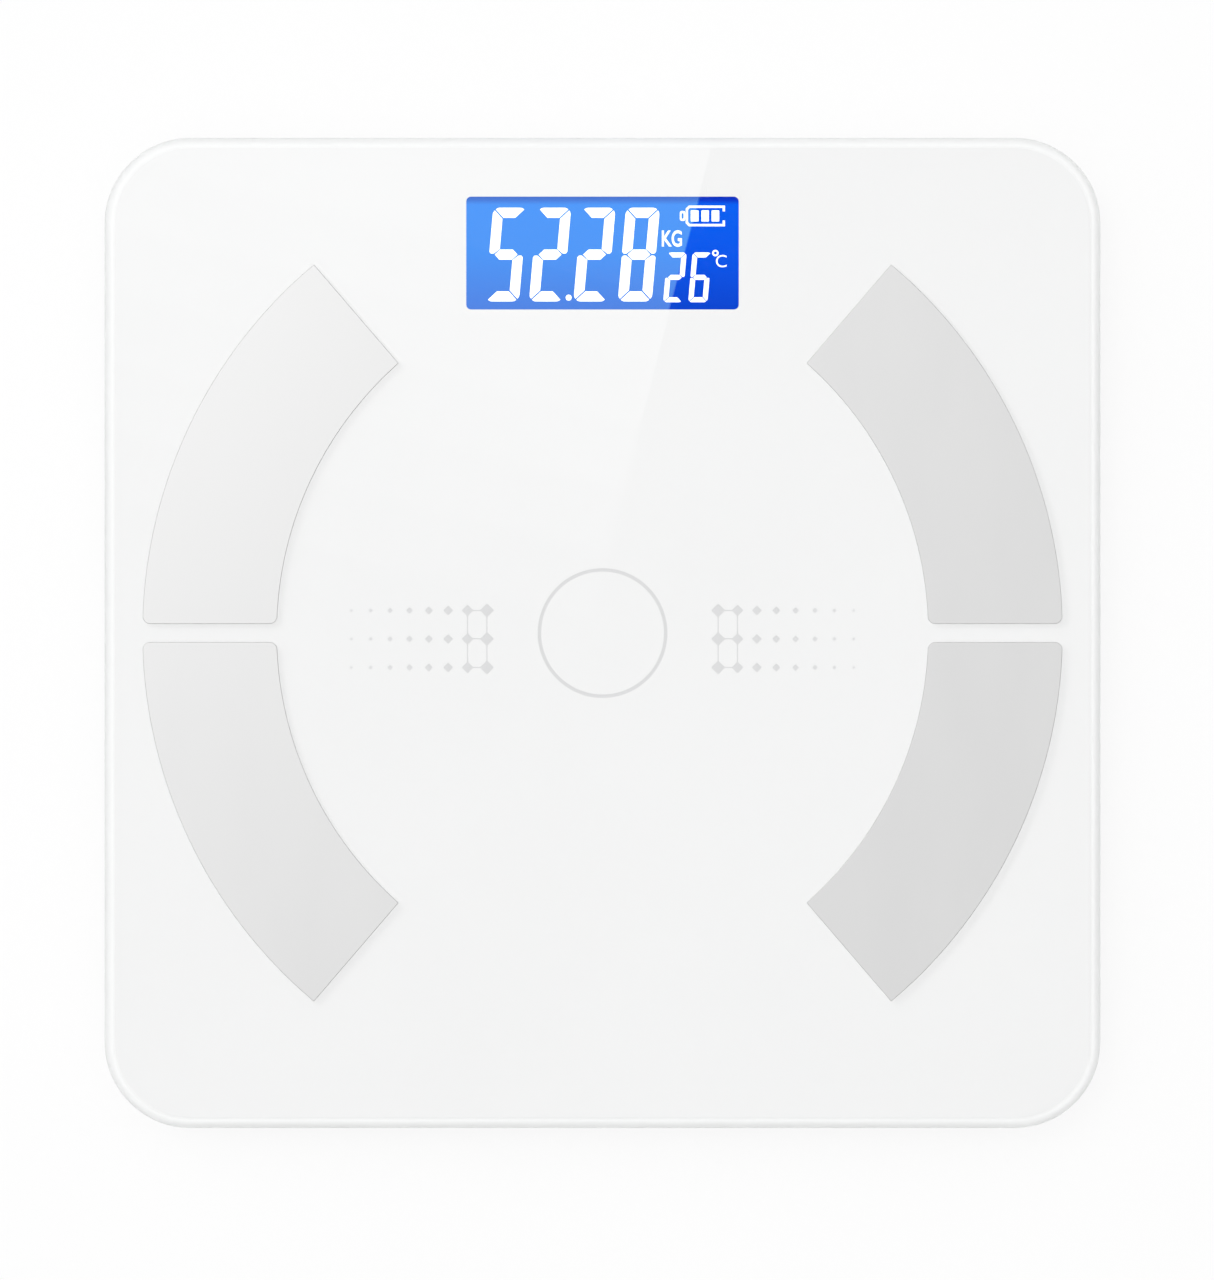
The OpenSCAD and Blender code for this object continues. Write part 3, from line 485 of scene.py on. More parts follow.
def grey_ink():
    """Screen-printed ornament that fades away from the middle."""
    f = Finish("grey_ink", Specular_IOR_Level=0.0, Roughness=0.9)
    x, _, _ = f.place.axes()
    fade = (x.size() - DOT_FIRST_X) / (DOT_PITCH * DOT_COLUMNS)
    grey = f.node("ShaderNodeValToRGB", {"stops": [
        (0, (0.745, 0.745, 0.75)),
        (0.4, (0.745, 0.745, 0.75)),
        (1, (0.83, 0.83, 0.835)),
    ]}, [fade])
    speckle = f.spread(f.noise(0.3 * MM, 2), 0, 0.08)
    f.set(Base_Color=f.blend(speckle, grey, (0.93, 0.93, 0.93)))
    return f.done()


def satin_electrode():
    """Bead-blasted plating: no direction, a very fine grain, faint wiping marks."""
    f = Finish("satin_electrode", Metallic=1.0)
    wipe = f.noise(14 * MM, 3, f.stretched((1, 0.35, 1)))
    f.set(
        Base_Color=f.blend(f.spread(wipe, 0, 1), (0.62, 0.62, 0.62), (0.63, 0.63, 0.629)),
        Roughness=f.spread(wipe, 0.44, 0.46),
    )
    f.bump(f.noise(0.18 * MM, 3), 0.0015 * MM)
    return f.done()


def foam(name, colour):
    """Foam with small open cells, a little darker in places."""
    f = Finish(name, Roughness=0.95, Specular_IOR_Level=0.1)
    cells = f.node("ShaderNodeTexVoronoi", {}, {"Vector": f.place, "Scale": 1 / (0.35 * MM)})
    f.set(Base_Color=f.blend(f.spread(f.noise(2 * MM), 0, 1), shade(colour, 0.9), colour))
    f.bump(cells, 0.05 * MM)
    return f.done()


def lit_panel():
    """The display's lit ground: blue, lighter left of a slant (a painted reflection of the
    softbox, which the glass also mirrors there), dark under its upper edge (a painted shadow of
    the print's edge), and darker towards the bottom.
    """
    f = Finish(
        "lit_panel",
        Base_Color=(0.0, 0.01, 0.06), Roughness=0.25, Specular_IOR_Level=0.1,
        Emission_Strength=1.0,
    )
    x, y, _ = f.place.axes()
    up = y - (DISPLAY_Y - DISPLAY_D / 2)
    # Painted reflection: left of the slanting line the ground is painted lighter, where the glass
    # mirrors the softbox.
    side = f.node("ShaderNodeMapRange", {}, {
        "Value": x - up * SLANT,
        "From Min": SLANT_X - SLANT_BLUR,
        "From Max": SLANT_X + SLANT_BLUR,
    })
    # Painted shadow: each ramp's first stops darken a thin band under the window's upper edge, as
    # the print's edge would shade it.
    down = (DISPLAY_D - up) / DISPLAY_D
    left = f.node("ShaderNodeValToRGB", {"stops": [
        (0.0, (0.03, 0.14, 0.60)),
        (0.03, (0.04, 0.18, 0.68)),
        (0.07, (0.05, 0.30, 0.94)),
        (0.5, (0.05, 0.29, 0.91)),
        (1.0, (0.06, 0.21, 0.75)),
    ]}, [down])
    right = f.node("ShaderNodeValToRGB", {"stops": [
        (0.0, (0.0, 0.025, 0.50)),
        (0.03, (0.0, 0.03, 0.60)),
        (0.07, (0.0, 0.115, 0.90)),
        (0.5, (0.0, 0.09, 0.84)),
        (1.0, (0.0, 0.05, 0.62)),
    ]}, [down])
    f.set(Emission_Color=f.blend(side, left, right))
    return f.done()


def lit_characters():
    """White of the lit characters, a touch cooler in places."""
    f = Finish(
        "lit_characters",
        Base_Color=(0.6, 0.62, 0.64), Roughness=0.4, Specular_IOR_Level=0.1,
        Emission_Strength=1.0,
    )
    glow = f.spread(f.noise(4 * MM, 2), 0, 1)
    f.set(Emission_Color=f.blend(glow, (0.90, 0.94, 1.0), (0.96, 0.98, 1.0)))
    return f.done()


def acrylic_guide():
    """Clear sheet that glows blue, with even rows of pale printed dots."""
    f = Finish(
        "acrylic_guide",
        Roughness=0.08, IOR=1.49, Transmission_Weight=0.6, Emission_Strength=0.5,
        Emission_Color=(0.15, 0.4, 1.0),
    )
    dots = f.node("ShaderNodeTexVoronoi", {}, {
        "Vector": f.place, "Scale": 1 / (1.2 * MM), "Randomness": 0.0})
    f.set(Base_Color=f.blend(dots.below(0.25), (0.55, 0.72, 0.98), (0.85, 0.92, 1.0)))
    return f.done()


def solder_mask():
    """Green board: raised traces under the mask, and glass weave in the surface."""
    f = Finish("solder_mask", Specular_IOR_Level=0.5)
    x, y, _ = f.place.axes()
    pitch = 1.27 * MM
    weave = f.noise(0.5 * MM, 2, f.stretched((1, 1, 0.1)))
    warp = f.noise(9 * MM, 0)
    lane = (x / pitch + f.spread(warp, 0, 5)).fraction()
    row = (y / pitch + f.spread(warp, 0, 4)).fraction()
    area = f.noise(14 * MM, 0, f.stretched((1, 1, 0))).above(0.5)
    trace = lane.above(0.7) * area + row.above(0.7) * (1 - area)
    f.set(
        Base_Color=f.blend(trace, (0.02, 0.16, 0.065), (0.045, 0.29, 0.12)),
        Roughness=f.spread(weave, 0.28, 0.38),
    )
    f.bump(trace, 0.03 * MM)
    return f.done()


def zebra_strip():
    """Contact rubber: dark carbon layers between pink ones, across its length."""
    f = Finish("zebra_strip", Roughness=0.7)
    x, _, _ = f.place.axes()
    pitch = 0.18 * MM
    stripe = (x / pitch).fraction().above(0.5)
    f.set(Base_Color=f.blend(stripe, (0.85, 0.62, 0.62), (0.16, 0.13, 0.13)))
    f.bump(f.noise(0.6 * MM, 2), 0.01 * MM)
    return f.done()


def battery_sleeve(lo, hi, nub_right):
    """Blue sleeve with a copper-coloured band at the nub's end, and bare metal ends."""
    f = Finish("battery_sleeve_" + ("near" if nub_right else "far"))
    x, _, _ = f.place.axes()
    along = (x - lo.x) / (hi.x - lo.x)
    if not nub_right:
        along = 1 - along
    skin = f.node("ShaderNodeValToRGB", {"steps": "CONSTANT", "stops": [
        (0.0, (0.62, 0.62, 0.60)),
        (0.012, (0.10, 0.22, 0.46)),
        (0.69, (0.78, 0.80, 0.82)),
        (0.72, (0.72, 0.46, 0.22)),
        (0.97, (0.62, 0.62, 0.60)),
    ]}, [along])
    bare = (along - 0.49).size().above(0.478)
    f.set(
        Base_Color=skin,
        Metallic=bare * 0.7 + 0.3,
        Roughness=f.spread(f.noise(5 * MM, 4), 0.24, 0.36),
    )
    f.bump(f.noise(8 * MM, 2), 0.01 * MM)
    return f.done()


def sealant():
    """Cream silicone over a gauge, uneven as it was spread."""
    f = Finish("sealant", Roughness=0.5, Subsurface_Weight=0.1)
    f.set(Base_Color=f.blend(
        f.spread(f.noise(1.5 * MM, 3), 0, 1), (0.84, 0.81, 0.71), (0.9, 0.88, 0.8)))
    f.bump(f.noise(1.2 * MM, 2), 0.08 * MM)
    return f.done()


def lamp_body(top):
    """White housings with patches of glowing yellow phosphor below their tops."""
    f = Finish("lamp_body", Roughness=0.35, Emission_Strength=0.4)
    _, _, z = f.place.axes()
    window = f.noise(1 * MM, 2).above(0.45) * (top - z).above(0.3 * MM)
    f.set(
        Base_Color=f.blend(window, (0.92, 0.91, 0.86), (0.95, 0.85, 0.35)),
        Emission_Color=f.blend(window, (0.0, 0.0, 0.0), (0.25, 0.5, 1.0)),
    )
    return f.done()


def insulation(name, colour):
    """Soft plastic of a lead: half gloss, with faint unevenness from its making."""
    f = Finish(name, Specular_IOR_Level=0.45)
    f.set(
        Base_Color=f.blend(
            f.spread(f.noise(8 * MM, 2), 0, 1), shade(colour, 0.88), colour),
        Roughness=f.spread(f.noise(1 * MM, 2), 0.34, 0.46),
    )
    f.bump(f.noise(0.7 * MM, 2), 0.006 * MM)
    return f.done()


# ---- Glass platform ----

def edge_rings(low, high, radius, steps=8):
    """(inset, height) pairs up a pencil edge, from the lower flat to the upper one."""
    turns = [math.radians(90 * i / steps) for i in range(steps + 1)]
    arc = [(radius * (1 - math.sin(t)), radius * (1 - math.cos(t))) for t in turns]
    return [(inset, low + up) for inset, up in arc] + [
        (inset, high - down) for inset, down in reversed(arc)
    ]


def glass_platform(polished, ground):
    """Rounded plate with a ground pencil edge and four holes for the electrodes' studs."""
    lo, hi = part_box("glass_platform")
    half_w, half_d = (hi.x - lo.x) / 2, (hi.y - lo.y) / 2
    bottom = lo.z + GLASS_LIFT
    bm = bmesh.new()
    rings = []
    for inset, z in edge_rings(bottom, hi.z, GLASS_ROUND):
        outline = rounded_outline(half_w - inset, half_d - inset, GLASS_CORNER - inset, 24)
        rings.append(add_loop(bm, outline, z))
    for (low, _), (high, _) in zip(rings, rings[1:]):
        add_wall(bm, low, high, slot=1)
    holes = [circle_points(STUD_HOLE, stud) for stud in stud_places()]
    ends = []
    for z, rim in ((bottom, rings[0]), (hi.z, rings[-1])):
        loops = [add_loop(bm, hole, z) for hole in holes]
        add_cap(bm, [rim] + loops)
        ends.append(loops)
    for (low, _), (high, _) in zip(*ends):
        add_wall(bm, low, high, slot=1)
    face_outward(bm)
    piece = new_piece("glass_plate", bm, [polished, ground], smooth=ROUND_ANGLE)
    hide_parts("glass_platform")


def stud_places():
    """Centres of the electrodes' studs: the middles of their nuts."""
    lo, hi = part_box("electrode_nuts")
    x = (hi.x - lo.x - NUT_CORNERS) / 2
    y = (hi.y - lo.y - NUT_FLATS) / 2
    return [(sx * x, sy * y) for sx in (-1, 1) for sy in (-1, 1)]


# ---- Geometry Nodes ----

def new_tree(name, inputs):
    """A Geometry Nodes tree and a wire for each of its named inputs, and for its material."""
    tree = bpy.data.node_groups.new(name, "GeometryNodeTree")
    for key, kind in {**inputs, "Material": "Material"}.items():
        tree.interface.new_socket(key, in_out="INPUT", socket_type="NodeSocket" + kind)
    tree.interface.new_socket("Geometry", in_out="OUTPUT", socket_type="NodeSocketGeometry")
    group = add_node(tree, "NodeGroupInput")
    return tree, {key: group.beside(key) for key in (*inputs, "Material")}


def end_tree(tree, instances, material):
    """Makes a tree's instances real and gives them the material."""
    real = add_node(tree, "GeometryNodeRealizeInstances", {}, [instances])
    made = add_node(tree, "GeometryNodeSetMaterial", {}, {
        "Geometry": real, "Material": material})
    add_node(tree, "NodeGroupOutput", {}, [made])


def grow(name, tree, values, material, **more):
    """A plain mesh made by a Geometry Nodes tree with these values for its named inputs."""
    holder = bpy.data.objects.new(name + "_maker", bpy.data.meshes.new(name + "_maker"))
    bpy.context.scene.collection.objects.link(holder)
    modifier = holder.modifiers.new("maker", "NODES")
    modifier.node_group = tree
    identifiers = {
        item.name: item.identifier for item in tree.interface.items_tree
        if item.in_out == "INPUT"
    }
    for key, value in {**values, "Material": material}.items():
        modifier[identifiers[key]] = value
    bm = bmesh.new()
    add_evaluated(bm, holder)
    return new_piece(name, bm, [material], **more)


def add_evaluated(bm, holder):
    """Adds an object's shape, with its modifiers or as a curve's faces, and removes it."""
    graph = bpy.context.evaluated_depsgraph_get()
    mesh = bpy.data.meshes.new_from_object(holder.evaluated_get(graph))
    bpy.data.objects.remove(holder)
    bm.from_mesh(mesh)
    bpy.data.meshes.remove(mesh)


# ---- Ornament printed behind the glass ----

def halftone_tree():
    """Rows of diamonds that shrink away from the middle, on both sides."""
    tree, given = new_tree("halftone", {
        "Columns": "Int", "Rows": "Int", "First X": "Float", "Middle Y": "Float",
        "Pitch": "Float", "Row Pitch": "Float", "Largest": "Float", "Shrink": "Float",
        "Height": "Float", "Thickness": "Float",
    })
    grid = add_node(tree, "GeometryNodeMeshGrid", {}, {
        "Size X": given["Pitch"] * (given["Columns"] - 1),
        "Size Y": given["Row Pitch"] * (given["Rows"] - 1),
        "Vertices X": given["Columns"],
        "Vertices Y": given["Rows"],
    })
    x, y, _ = add_node(tree, "GeometryNodeInputPosition").axes()
    column = (x.size() - given["First X"]) / given["Pitch"]
    size = given["Largest"] * given["Shrink"].power(column)
    scale = add_node(tree, "ShaderNodeCombineXYZ", {}, {"X": size, "Y": size, "Z": 1.0})
    diamond = add_node(tree, "GeometryNodeMeshCylinder", {"fill_type": "NGON"}, {
        "Vertices": 4, "Radius": 1.0, "Depth": given["Thickness"]})
    out = x + given["Pitch"] * (given["Columns"] - 1) * 0.5
    sides = []
    for side in (-1, 1):
        spot = add_node(tree, "ShaderNodeCombineXYZ", {}, {
            "X": (out + given["First X"]) * side,
            "Y": y + given["Middle Y"],
            "Z": given["Height"],
        })
        points = add_node(tree, "GeometryNodeSetPosition", {}, {
            "Geometry": grid, "Position": spot})
        sides.append(add_node(tree, "GeometryNodeInstanceOnPoints", {}, {
            "Points": points, "Instance": diamond, "Scale": scale}))
    both = add_node(tree, "GeometryNodeJoinGeometry", {}, {"Geometry": sides})
    end_tree(tree, both, given["Material"])
    return tree


def bar_outline(x0, y0, x1, y1, width):
    """A straight bar between two points, as an outline."""
    along = Vector((x1 - x0, y1 - y0)).normalized()
    side = Vector((-along.y, along.x)) * width / 2
    return [(x0 - side.x, y0 - side.y), (x1 - side.x, y1 - side.y),
            (x1 + side.x, y1 + side.y), (x0 + side.x, y0 + side.y)]


def printed_ornament(ink):
    """Ring in the middle and, on each side of it, dots of which the first are joined."""
    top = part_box("back_print")[1].z
    ring = (circle_points(RING_R + RING_LINE / 2, (0, 0), 96),
            [circle_points(RING_R - RING_LINE / 2, (0, 0), 96)])
    prism_piece("printed_ring", [ring], top, top + INK, ink)
    net = []
    for side in (-1, 1):
        columns = [side * DOT_FIRST_X, side * (DOT_FIRST_X + DOT_PITCH)]
        net += [bar_outline(x, DOT_ROWS[0], x, DOT_ROWS[-1], NET_LINE) for x in columns]
        inside = side * NET_LINE / 2
        net += [
            bar_outline(columns[0] + inside, y, columns[1] - inside, y, NET_LINE)
            for y in DOT_ROWS
        ]
    prism_piece("printed_net", net, top, top + INK / 2, ink)
    grow("printed_dots", halftone_tree(), {
        "Columns": DOT_COLUMNS,
        "Rows": len(DOT_ROWS),
        "First X": DOT_FIRST_X,
        "Middle Y": (DOT_ROWS[0] + DOT_ROWS[-1]) / 2,
        "Pitch": DOT_PITCH,
        "Row Pitch": (DOT_ROWS[0] - DOT_ROWS[-1]) / (len(DOT_ROWS) - 1),
        "Largest": DOT_LARGEST,
        "Shrink": DOT_SHRINK,
        "Height": top + INK / 2,
        "Thickness": INK,
    }, ink)


# ---- Display ----

SEGMENTS = {"2": "abged", "5": "afgcd", "6": "afgedc", "8": "abcdefg"}


def digit_shapes(value, w, h, stroke, corner, gap):
    """Upright seven-segment outlines in millimetres, their lower left corner at 0, 0."""
    d = gap / math.sqrt(2)
    mid, half = h / 2, stroke / 2

    def round_corner(first, last):
        """Part of the upper left corner's arc; 0 degrees is at the left, 90 at the top."""
        turns = [math.radians(first + (last - first) * i / 5) for i in range(6)]
        return [(corner * (1 - math.cos(t)), h - corner * (1 - math.sin(t))) for t in turns]

    left_end = [(x + d, y) for x, y in round_corner(45, 90)]
    top = left_end + [(w - x, y) for x, y in reversed(left_end)] + [
        (w - stroke - d, h - stroke), (stroke + d, h - stroke),
    ]
    # The upper left segment ends at the middle of the digit in a blunt point.
    high_left = [(x, y - d) for x, y in round_corner(45, 0)] + [
        (0, mid + half * 0.55), (half * 0.3, mid + half * 0.2), (half * 0.85, mid + d),
        (stroke, mid + half + d / 2), (stroke, h - stroke - d),
    ]
    middle = [
        (half + d / 2, mid), (stroke + d / 2, mid + half), (w - stroke - d / 2, mid + half),
        (w - half - d / 2, mid), (w - stroke - d / 2, mid - half), (stroke + d / 2, mid - half),
    ]
    shapes = {
        "a": top,
        "f": high_left,
        "b": [(w - x, y) for x, y in high_left],
        "e": [(x, h - y) for x, y in high_left],
        "c": [(w - x, h - y) for x, y in high_left],
        "d": [(x, h - y) for x, y in top],
        "g": middle,
    }
    return [shapes[key] for key in SEGMENTS[value]]


def number_shapes(text, digit, places, y):
    """Segments of a number in metres, leaning to the right, each digit at its own place."""
    return [
        [((px + py * LEAN) * MM + x, py * MM + y) for px, py in shape]
        for value, x in zip(text, places)
        for shape in digit_shapes(value, *digit)
    ]


def add_word(bm, text, height, place, stretch=1.0, weight=0.0):
    """Adds a word's flat faces, its lower left corner at place."""
    curve = bpy.data.curves.new("word", "FONT")
    curve.body = text
    curve.offset = weight
    holder = bpy.data.objects.new("word", curve)
    bpy.context.scene.collection.objects.link(holder)
    before = len(bm.verts)
    add_evaluated(bm, holder)
    letters = bm.verts[before:]
    left = min(vert.co.x for vert in letters)
    low = min(vert.co.y for vert in letters)
    scale = height / (max(vert.co.y for vert in letters) - low)
    for vert in letters:
        vert.co.x = (vert.co.x - left) * scale * stretch + place[0]
        vert.co.y = (vert.co.y - low) * scale + place[1]


def display(lit, ink):
    """Lit face of the display and its characters, under the window in the print."""
    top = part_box("display_cell")[1].z
    half_w, half_d = DISPLAY_W / 2 + DISPLAY_LAP, DISPLAY_D / 2 + DISPLAY_LAP
    face = rounded_outline(half_w, half_d, DISPLAY_CORNER, 4, (0, DISPLAY_Y))
    prism_piece("display_face", [face], top, top + INK, lit)

    shapes = number_shapes("5228", BIG_DIGIT, BIG_X, BIG_Y)
    shapes.append(circle_points(POINT_R, POINT_MIDDLE, 24))
    shapes += number_shapes("26", SMALL_DIGIT, SMALL_X, SMALL_Y)
    shapes.append((circle_points(DEGREE_R, DEGREE_MIDDLE, 20),
                   [circle_points(DEGREE_HOLE, DEGREE_MIDDLE, 20)]))
    shapes += cell_symbol()
    low = top + 1.5 * INK
    prism_piece("display_characters", shapes, low, low + INK, ink)

    bm = bmesh.new()
    add_word(bm, "KG", UNIT_HEIGHT, UNIT_PLACE, stretch=0.7, weight=0.02)
    add_word(bm, "C", CELSIUS_HEIGHT, CELSIUS_PLACE, weight=-0.005)
    thicken(bm, low, INK)
    new_piece("display_units", bm, [ink])


def thicken(bm, z, height):
    """Turns flat faces into closed solids from z up."""
    for vert in bm.verts:
        vert.co.z = z
    made = bmesh.ops.extrude_face_region(bm, geom=bm.faces[:], use_keep_orig=True)
    for item in made["geom"]:
        if isinstance(item, bmesh.types.BMVert):
            item.co.z = z + height
    face_outward(bm)


def cell_symbol():
    """Battery outline, open at its right end, with three charge bars and a cap on the left."""
    x0, x1 = 21.75 * MM, 32.0 * MM
    y0, y1 = 106.3 * MM, 111.7 * MM
    mid = (y0 + y1) / 2
    line = 0.6 * MM
    cut = 0.8 * MM              # of the corners at the cap's end
    inner = cut + line * 0.4    # of the same corners, inside the line
    back = 1.5 * MM             # how far the line turns back at the open end
    lower = [
        (x0, y0 + cut), (x0 + cut, y0), (x1, y0), (x1, y0 + back), (x1 - line, y0 + back),
        (x1 - line, y0 + line), (x0 + inner, y0 + line), (x0 + line, y0 + inner),
    ]
    body = lower + [(x, y0 + y1 - y) for x, y in reversed(lower)]
    cap_middle = (x0 - 0.83 * MM, mid)
    cap = (rounded_outline(0.72 * MM, 1.3 * MM, 0.5 * MM, 3, cap_middle),
           [rounded_outline(0.28 * MM, 0.75 * MM, 0.2 * MM, 3, cap_middle)])
    bar_ends = ((23.05, 25.1), (25.85, 27.8), (28.5, 30.5))     # left and right, millimetres
    bars = [
        rounded_outline((b - a) / 2 * MM, 1.45 * MM, 0.15 * MM, 2, ((a + b) / 2 * MM, mid))
        for a, b in bar_ends
    ]
    return [body, cap] + bars


# ---- Load cells, leads and the battery door's grip ----

def load_cells(steel, sealed):
    """Each plate's frame stays on the platform; its tongue and gauge are pieces of their own."""
    for corner, side in CORNERS.items():
        node = "load_cell_" + corner
        lo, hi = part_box(node)
        middle = ((lo.x + hi.x) / 2, (lo.y + hi.y) / 2)
        half = (hi.x - lo.x) / 2
        hole = half - CELL_FRAME
        plate = (rounded_outline(half, half, CELL_CORNER, 6, middle),
                 [rounded_outline(hole, hole, CELL_HOLE_CORNER, 2, middle)])
        frame_piece = prism_piece("cell_frame_" + corner, [plate], lo.z, hi.z, steel)
        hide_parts(node)

        root = middle[1] - side * hole
        tip = middle[1] + side * TONGUE_TIP
        bm = tongue_shape(middle[0], root, tip, lo.z, hi.z)
        tongue = new_piece("cell_tongue_" + corner, bm, [steel], body=None)
        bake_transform(tongue)

        gauge_node = "strain_gauge_" + corner
        bm = merged_copy(gauge_node)
        bmesh.ops.bevel(bm, geom=bm.edges[:], offset=GAUGE_EDGE, segments=3, affect="EDGES",
                        profile=0.5)
        gauge = new_piece("gauge_seal_" + corner, bm, [sealed], body=None, smooth=40)
        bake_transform(gauge)
        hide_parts(gauge_node)


def tongue_shape(x, root, tip, z0, z1):
    """A flat bar along Y in short steps, its middle at x."""
    half = TONGUE_W / 2
    section = ((-half, z0), (half, z0), (half, z1), (-half, z1))
    bm = bmesh.new()
    rows = []
    for i in range(TONGUE_STEPS + 1):
        y = root + (tip - root) * i / TONGUE_STEPS
        rows.append([bm.verts.new((x + dx, y, z)) for dx, z in section])
    for near, far in zip(rows, rows[1:]):
        add_wall(bm, near, far)
    bm.faces.new(rows[0])
    bm.faces.new(rows[-1])
    face_outward(bm)
    return bm


def separate_parts(bm):
    """The vertices of each part of a mesh that isn't joined to the others."""
    parts, seen = [], set()
    for start in bm.verts:
        part, queue = [], [start]
        while queue:
            vert = queue.pop()
            if vert not in seen:
                seen.add(vert)
                part.append(vert)
                queue += [edge.other_vert(vert) for edge in vert.link_edges]
        if part:
            parts.append(part)
    return parts


def coloured_leads(node, materials):
    """Gives each wire of a node its own insulation colour, from left to right."""
    bm = merged_copy(node)
    wires = separate_parts(bm)
    wires.sort(key=lambda wire: sum(vert.co.x for vert in wire) / len(wire))
    for i, wire in enumerate(wires):
        for face in {face for vert in wire for face in vert.link_faces}:
            face.material_index = i % len(materials)
    piece = new_piece(node + "_insulated", bm, materials, smooth=60)
    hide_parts(node)


def door_grip(abs_white):
    """Ribs under the battery door, beside the fingertip dip."""
    tree, given = new_tree("ribs", {
        "Count": "Int", "First": "Vector", "Step": "Vector", "Size": "Vector"})
    line = add_node(tree, "GeometryNodeMeshLine", {}, {
        "Count": given["Count"], "Start Location": given["First"], "Offset": given["Step"]})
    rib = add_node(tree, "GeometryNodeMeshCube", {}, {"Size": given["Size"]})
    ribs = add_node(tree, "GeometryNodeInstanceOnPoints", {}, {
        "Points": line, "Instance": rib})
    end_tree(tree, ribs, given["Material"])

    lo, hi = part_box("battery_door")
    grow("door_grip", tree, {
        "Count": RIB_COUNT,
        "First": ((lo.x + hi.x) / 2, hi.y - RIB_INSET, lo.z - RIB_SINK),
        "Step": (0, RIB_PITCH, 0),
        "Size": RIB_SIZE,
    }, abs_white, body="battery_door", smooth=ROUND_ANGLE, edge=RIB_EDGE)


# ---- Pieces and their finishes ----

white = plastic("white_abs", (0.90, 0.905, 0.90), 0.42)
frame_white = plastic("frame_white", (0.92, 0.92, 0.90), 0.5)
grey_abs = plastic("grey_abs", (0.55, 0.56, 0.57), 0.5)
switch_grey = plastic("switch_grey", (0.28, 0.29, 0.30), 0.4)
black_plastic = plastic(
    "black_plastic", (0.03, 0.03, 0.032), 0.42, grain=0.15 * MM, depth=0.006 * MM)
chip_black = plastic(
    "chip_black", (0.028, 0.028, 0.03), 0.55, grain=0.12 * MM, depth=0.008 * MM, change=0.2)
ivory = plastic("connector_ivory", (0.86, 0.83, 0.72), 0.45)
ceramic = plastic(
    "tan_ceramic", (0.55, 0.40, 0.24), 0.38, grain=0.2 * MM, depth=0.004 * MM, change=0.15)
cell_glass = plastic(
    "cell_glass", (0.02, 0.035, 0.12), 0.12, grain=3 * MM, depth=0.001 * MM, change=0.15)
pad_rubber = rubber("pad_rubber", (0.33, 0.34, 0.35))
electrode = satin_electrode()
spring_steel = metal("spring_steel", (0.62, 0.61, 0.58), 0.28, brush=(1, 0.08, 1))
zinc = metal("zinc_plate", (0.70, 0.71, 0.72), 0.24)
tape = foam("tape_foam", (0.80, 0.80, 0.78))
gasket = foam("gasket_foam", (0.06, 0.06, 0.065))
red = insulation("red_insulation", (0.55, 0.03, 0.025))
black = insulation("black_insulation", (0.02, 0.02, 0.022))
pale = insulation("white_insulation", (0.78, 0.78, 0.76))
grey = insulation("grey_insulation", (0.35, 0.36, 0.37))

NODE_FINISHES = {
    "back_print": white_film(),
    "bonding_tape": tape,
    "display_gasket": gasket,
    "display_cell": cell_glass,
    "light_guide": acrylic_guide(),
    "display_lamps": lamp_body(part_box("display_lamps")[1].z),
    "display_frame": frame_white,
    "contact_strip": zebra_strip(),
    "main_board": solder_mask(),
    "controller_chip": chip_black,
    "board_parts": ceramic,
    "wire_connectors": ivory,
    "thermistor": ceramic,
    "tact_switch": switch_grey,
    "switch_plunger": black_plastic,
    "electrode_terminals": zinc,
    "electrode_nuts": zinc,
    "bracket_screws": zinc,
    "board_screws": zinc,
    "battery_springs": spring_steel,
    "battery_plate": spring_steel,
    "battery_near": battery_sleeve(*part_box("battery_near"), True),
    "battery_far": battery_sleeve(*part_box("battery_far"), False),
}
for node, finish in NODE_FINISHES.items():
    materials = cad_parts[node].data.materials
    materials.clear()
    materials.append(finish)

glass_platform(polished_glass(), ground_glass())
printed_ornament(grey_ink())
display(lit_panel(), lit_characters())
load_cells(spring_steel, sealant())
refinish("base_shell", white)
refinish("battery_door", white, "battery_door")
refinish("unit_button", white, "unit_button")
door_grip(white)
for corner in CORNERS:
    foot = corner + "_foot"
    plate = refinish("electrode_" + corner, electrode, edge=ELECTRODE_EDGE)
    plate.visible_diffuse = False       # it holds no scattered light back from the print
    refinish("sensor_bracket_" + corner, grey_abs)
    refinish("foot_" + corner, white, foot)
    refinish("foot_pad_" + corner, pad_rubber, foot, PAD_EDGE)
    coloured_leads("load_cell_lead_" + corner, [red, pale, black])
coloured_leads("electrode_leads", [grey])
coloured_leads("battery_leads", [black, red])


# ---- Floor, light and camera ----

FLOOR_HALF = 3.0                # half of its side
CAMERA_HEIGHT = 2.0             # above the glass
VIEW_HEIGHT = 0.3338            # what the camera sees, top to bottom, at the glass
CAMERA_PLACE = (1.17 * MM, -1.83 * MM)
SOFTBOX_HEIGHT = 3.0            # above the glass
SOFTBOX = (3.0, 2.6)
SOFTBOX_LIGHT = 0.36            # brightness of its face
SOFTBOX_TURN = math.radians(14.25)
SOFTBOX_EDGE = -12.1 * MM       # where its edge would pass over the middle of the plate
SOFTBOX_END = 0.12              # its heel end, along that edge
SOFTBOX_FADE = 0.26             # how far that end takes to fade out
SOFTBOX_STEPS = 6
SOFTBOX_GAP = 2 * MM            # between the panels that make the steps
KEY_PLACE = (-0.45, 0.32, 1.5)  # from the middle of the glass
KEY_SIZE = (0.3, 0.3)
KEY_LIGHT = 6.0                 # brightness of its face
ROOM_LIGHT = 0.989
ROOM_LEFT = 0.06                # how much stronger it is from the left,
ROOM_TOE = 0.05                 # from the toe end,
ROOM_LOW = 0.35                 # and from low down between the two
ROOM_HEIGHTS = [                # degrees from straight up, and brightness
    (90, 0.60), (60, 0.75), (30, 1.18), (10, 1.30), (7, 0.0),
]

glass_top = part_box("glass_platform")[1].z
scene = bpy.context.scene


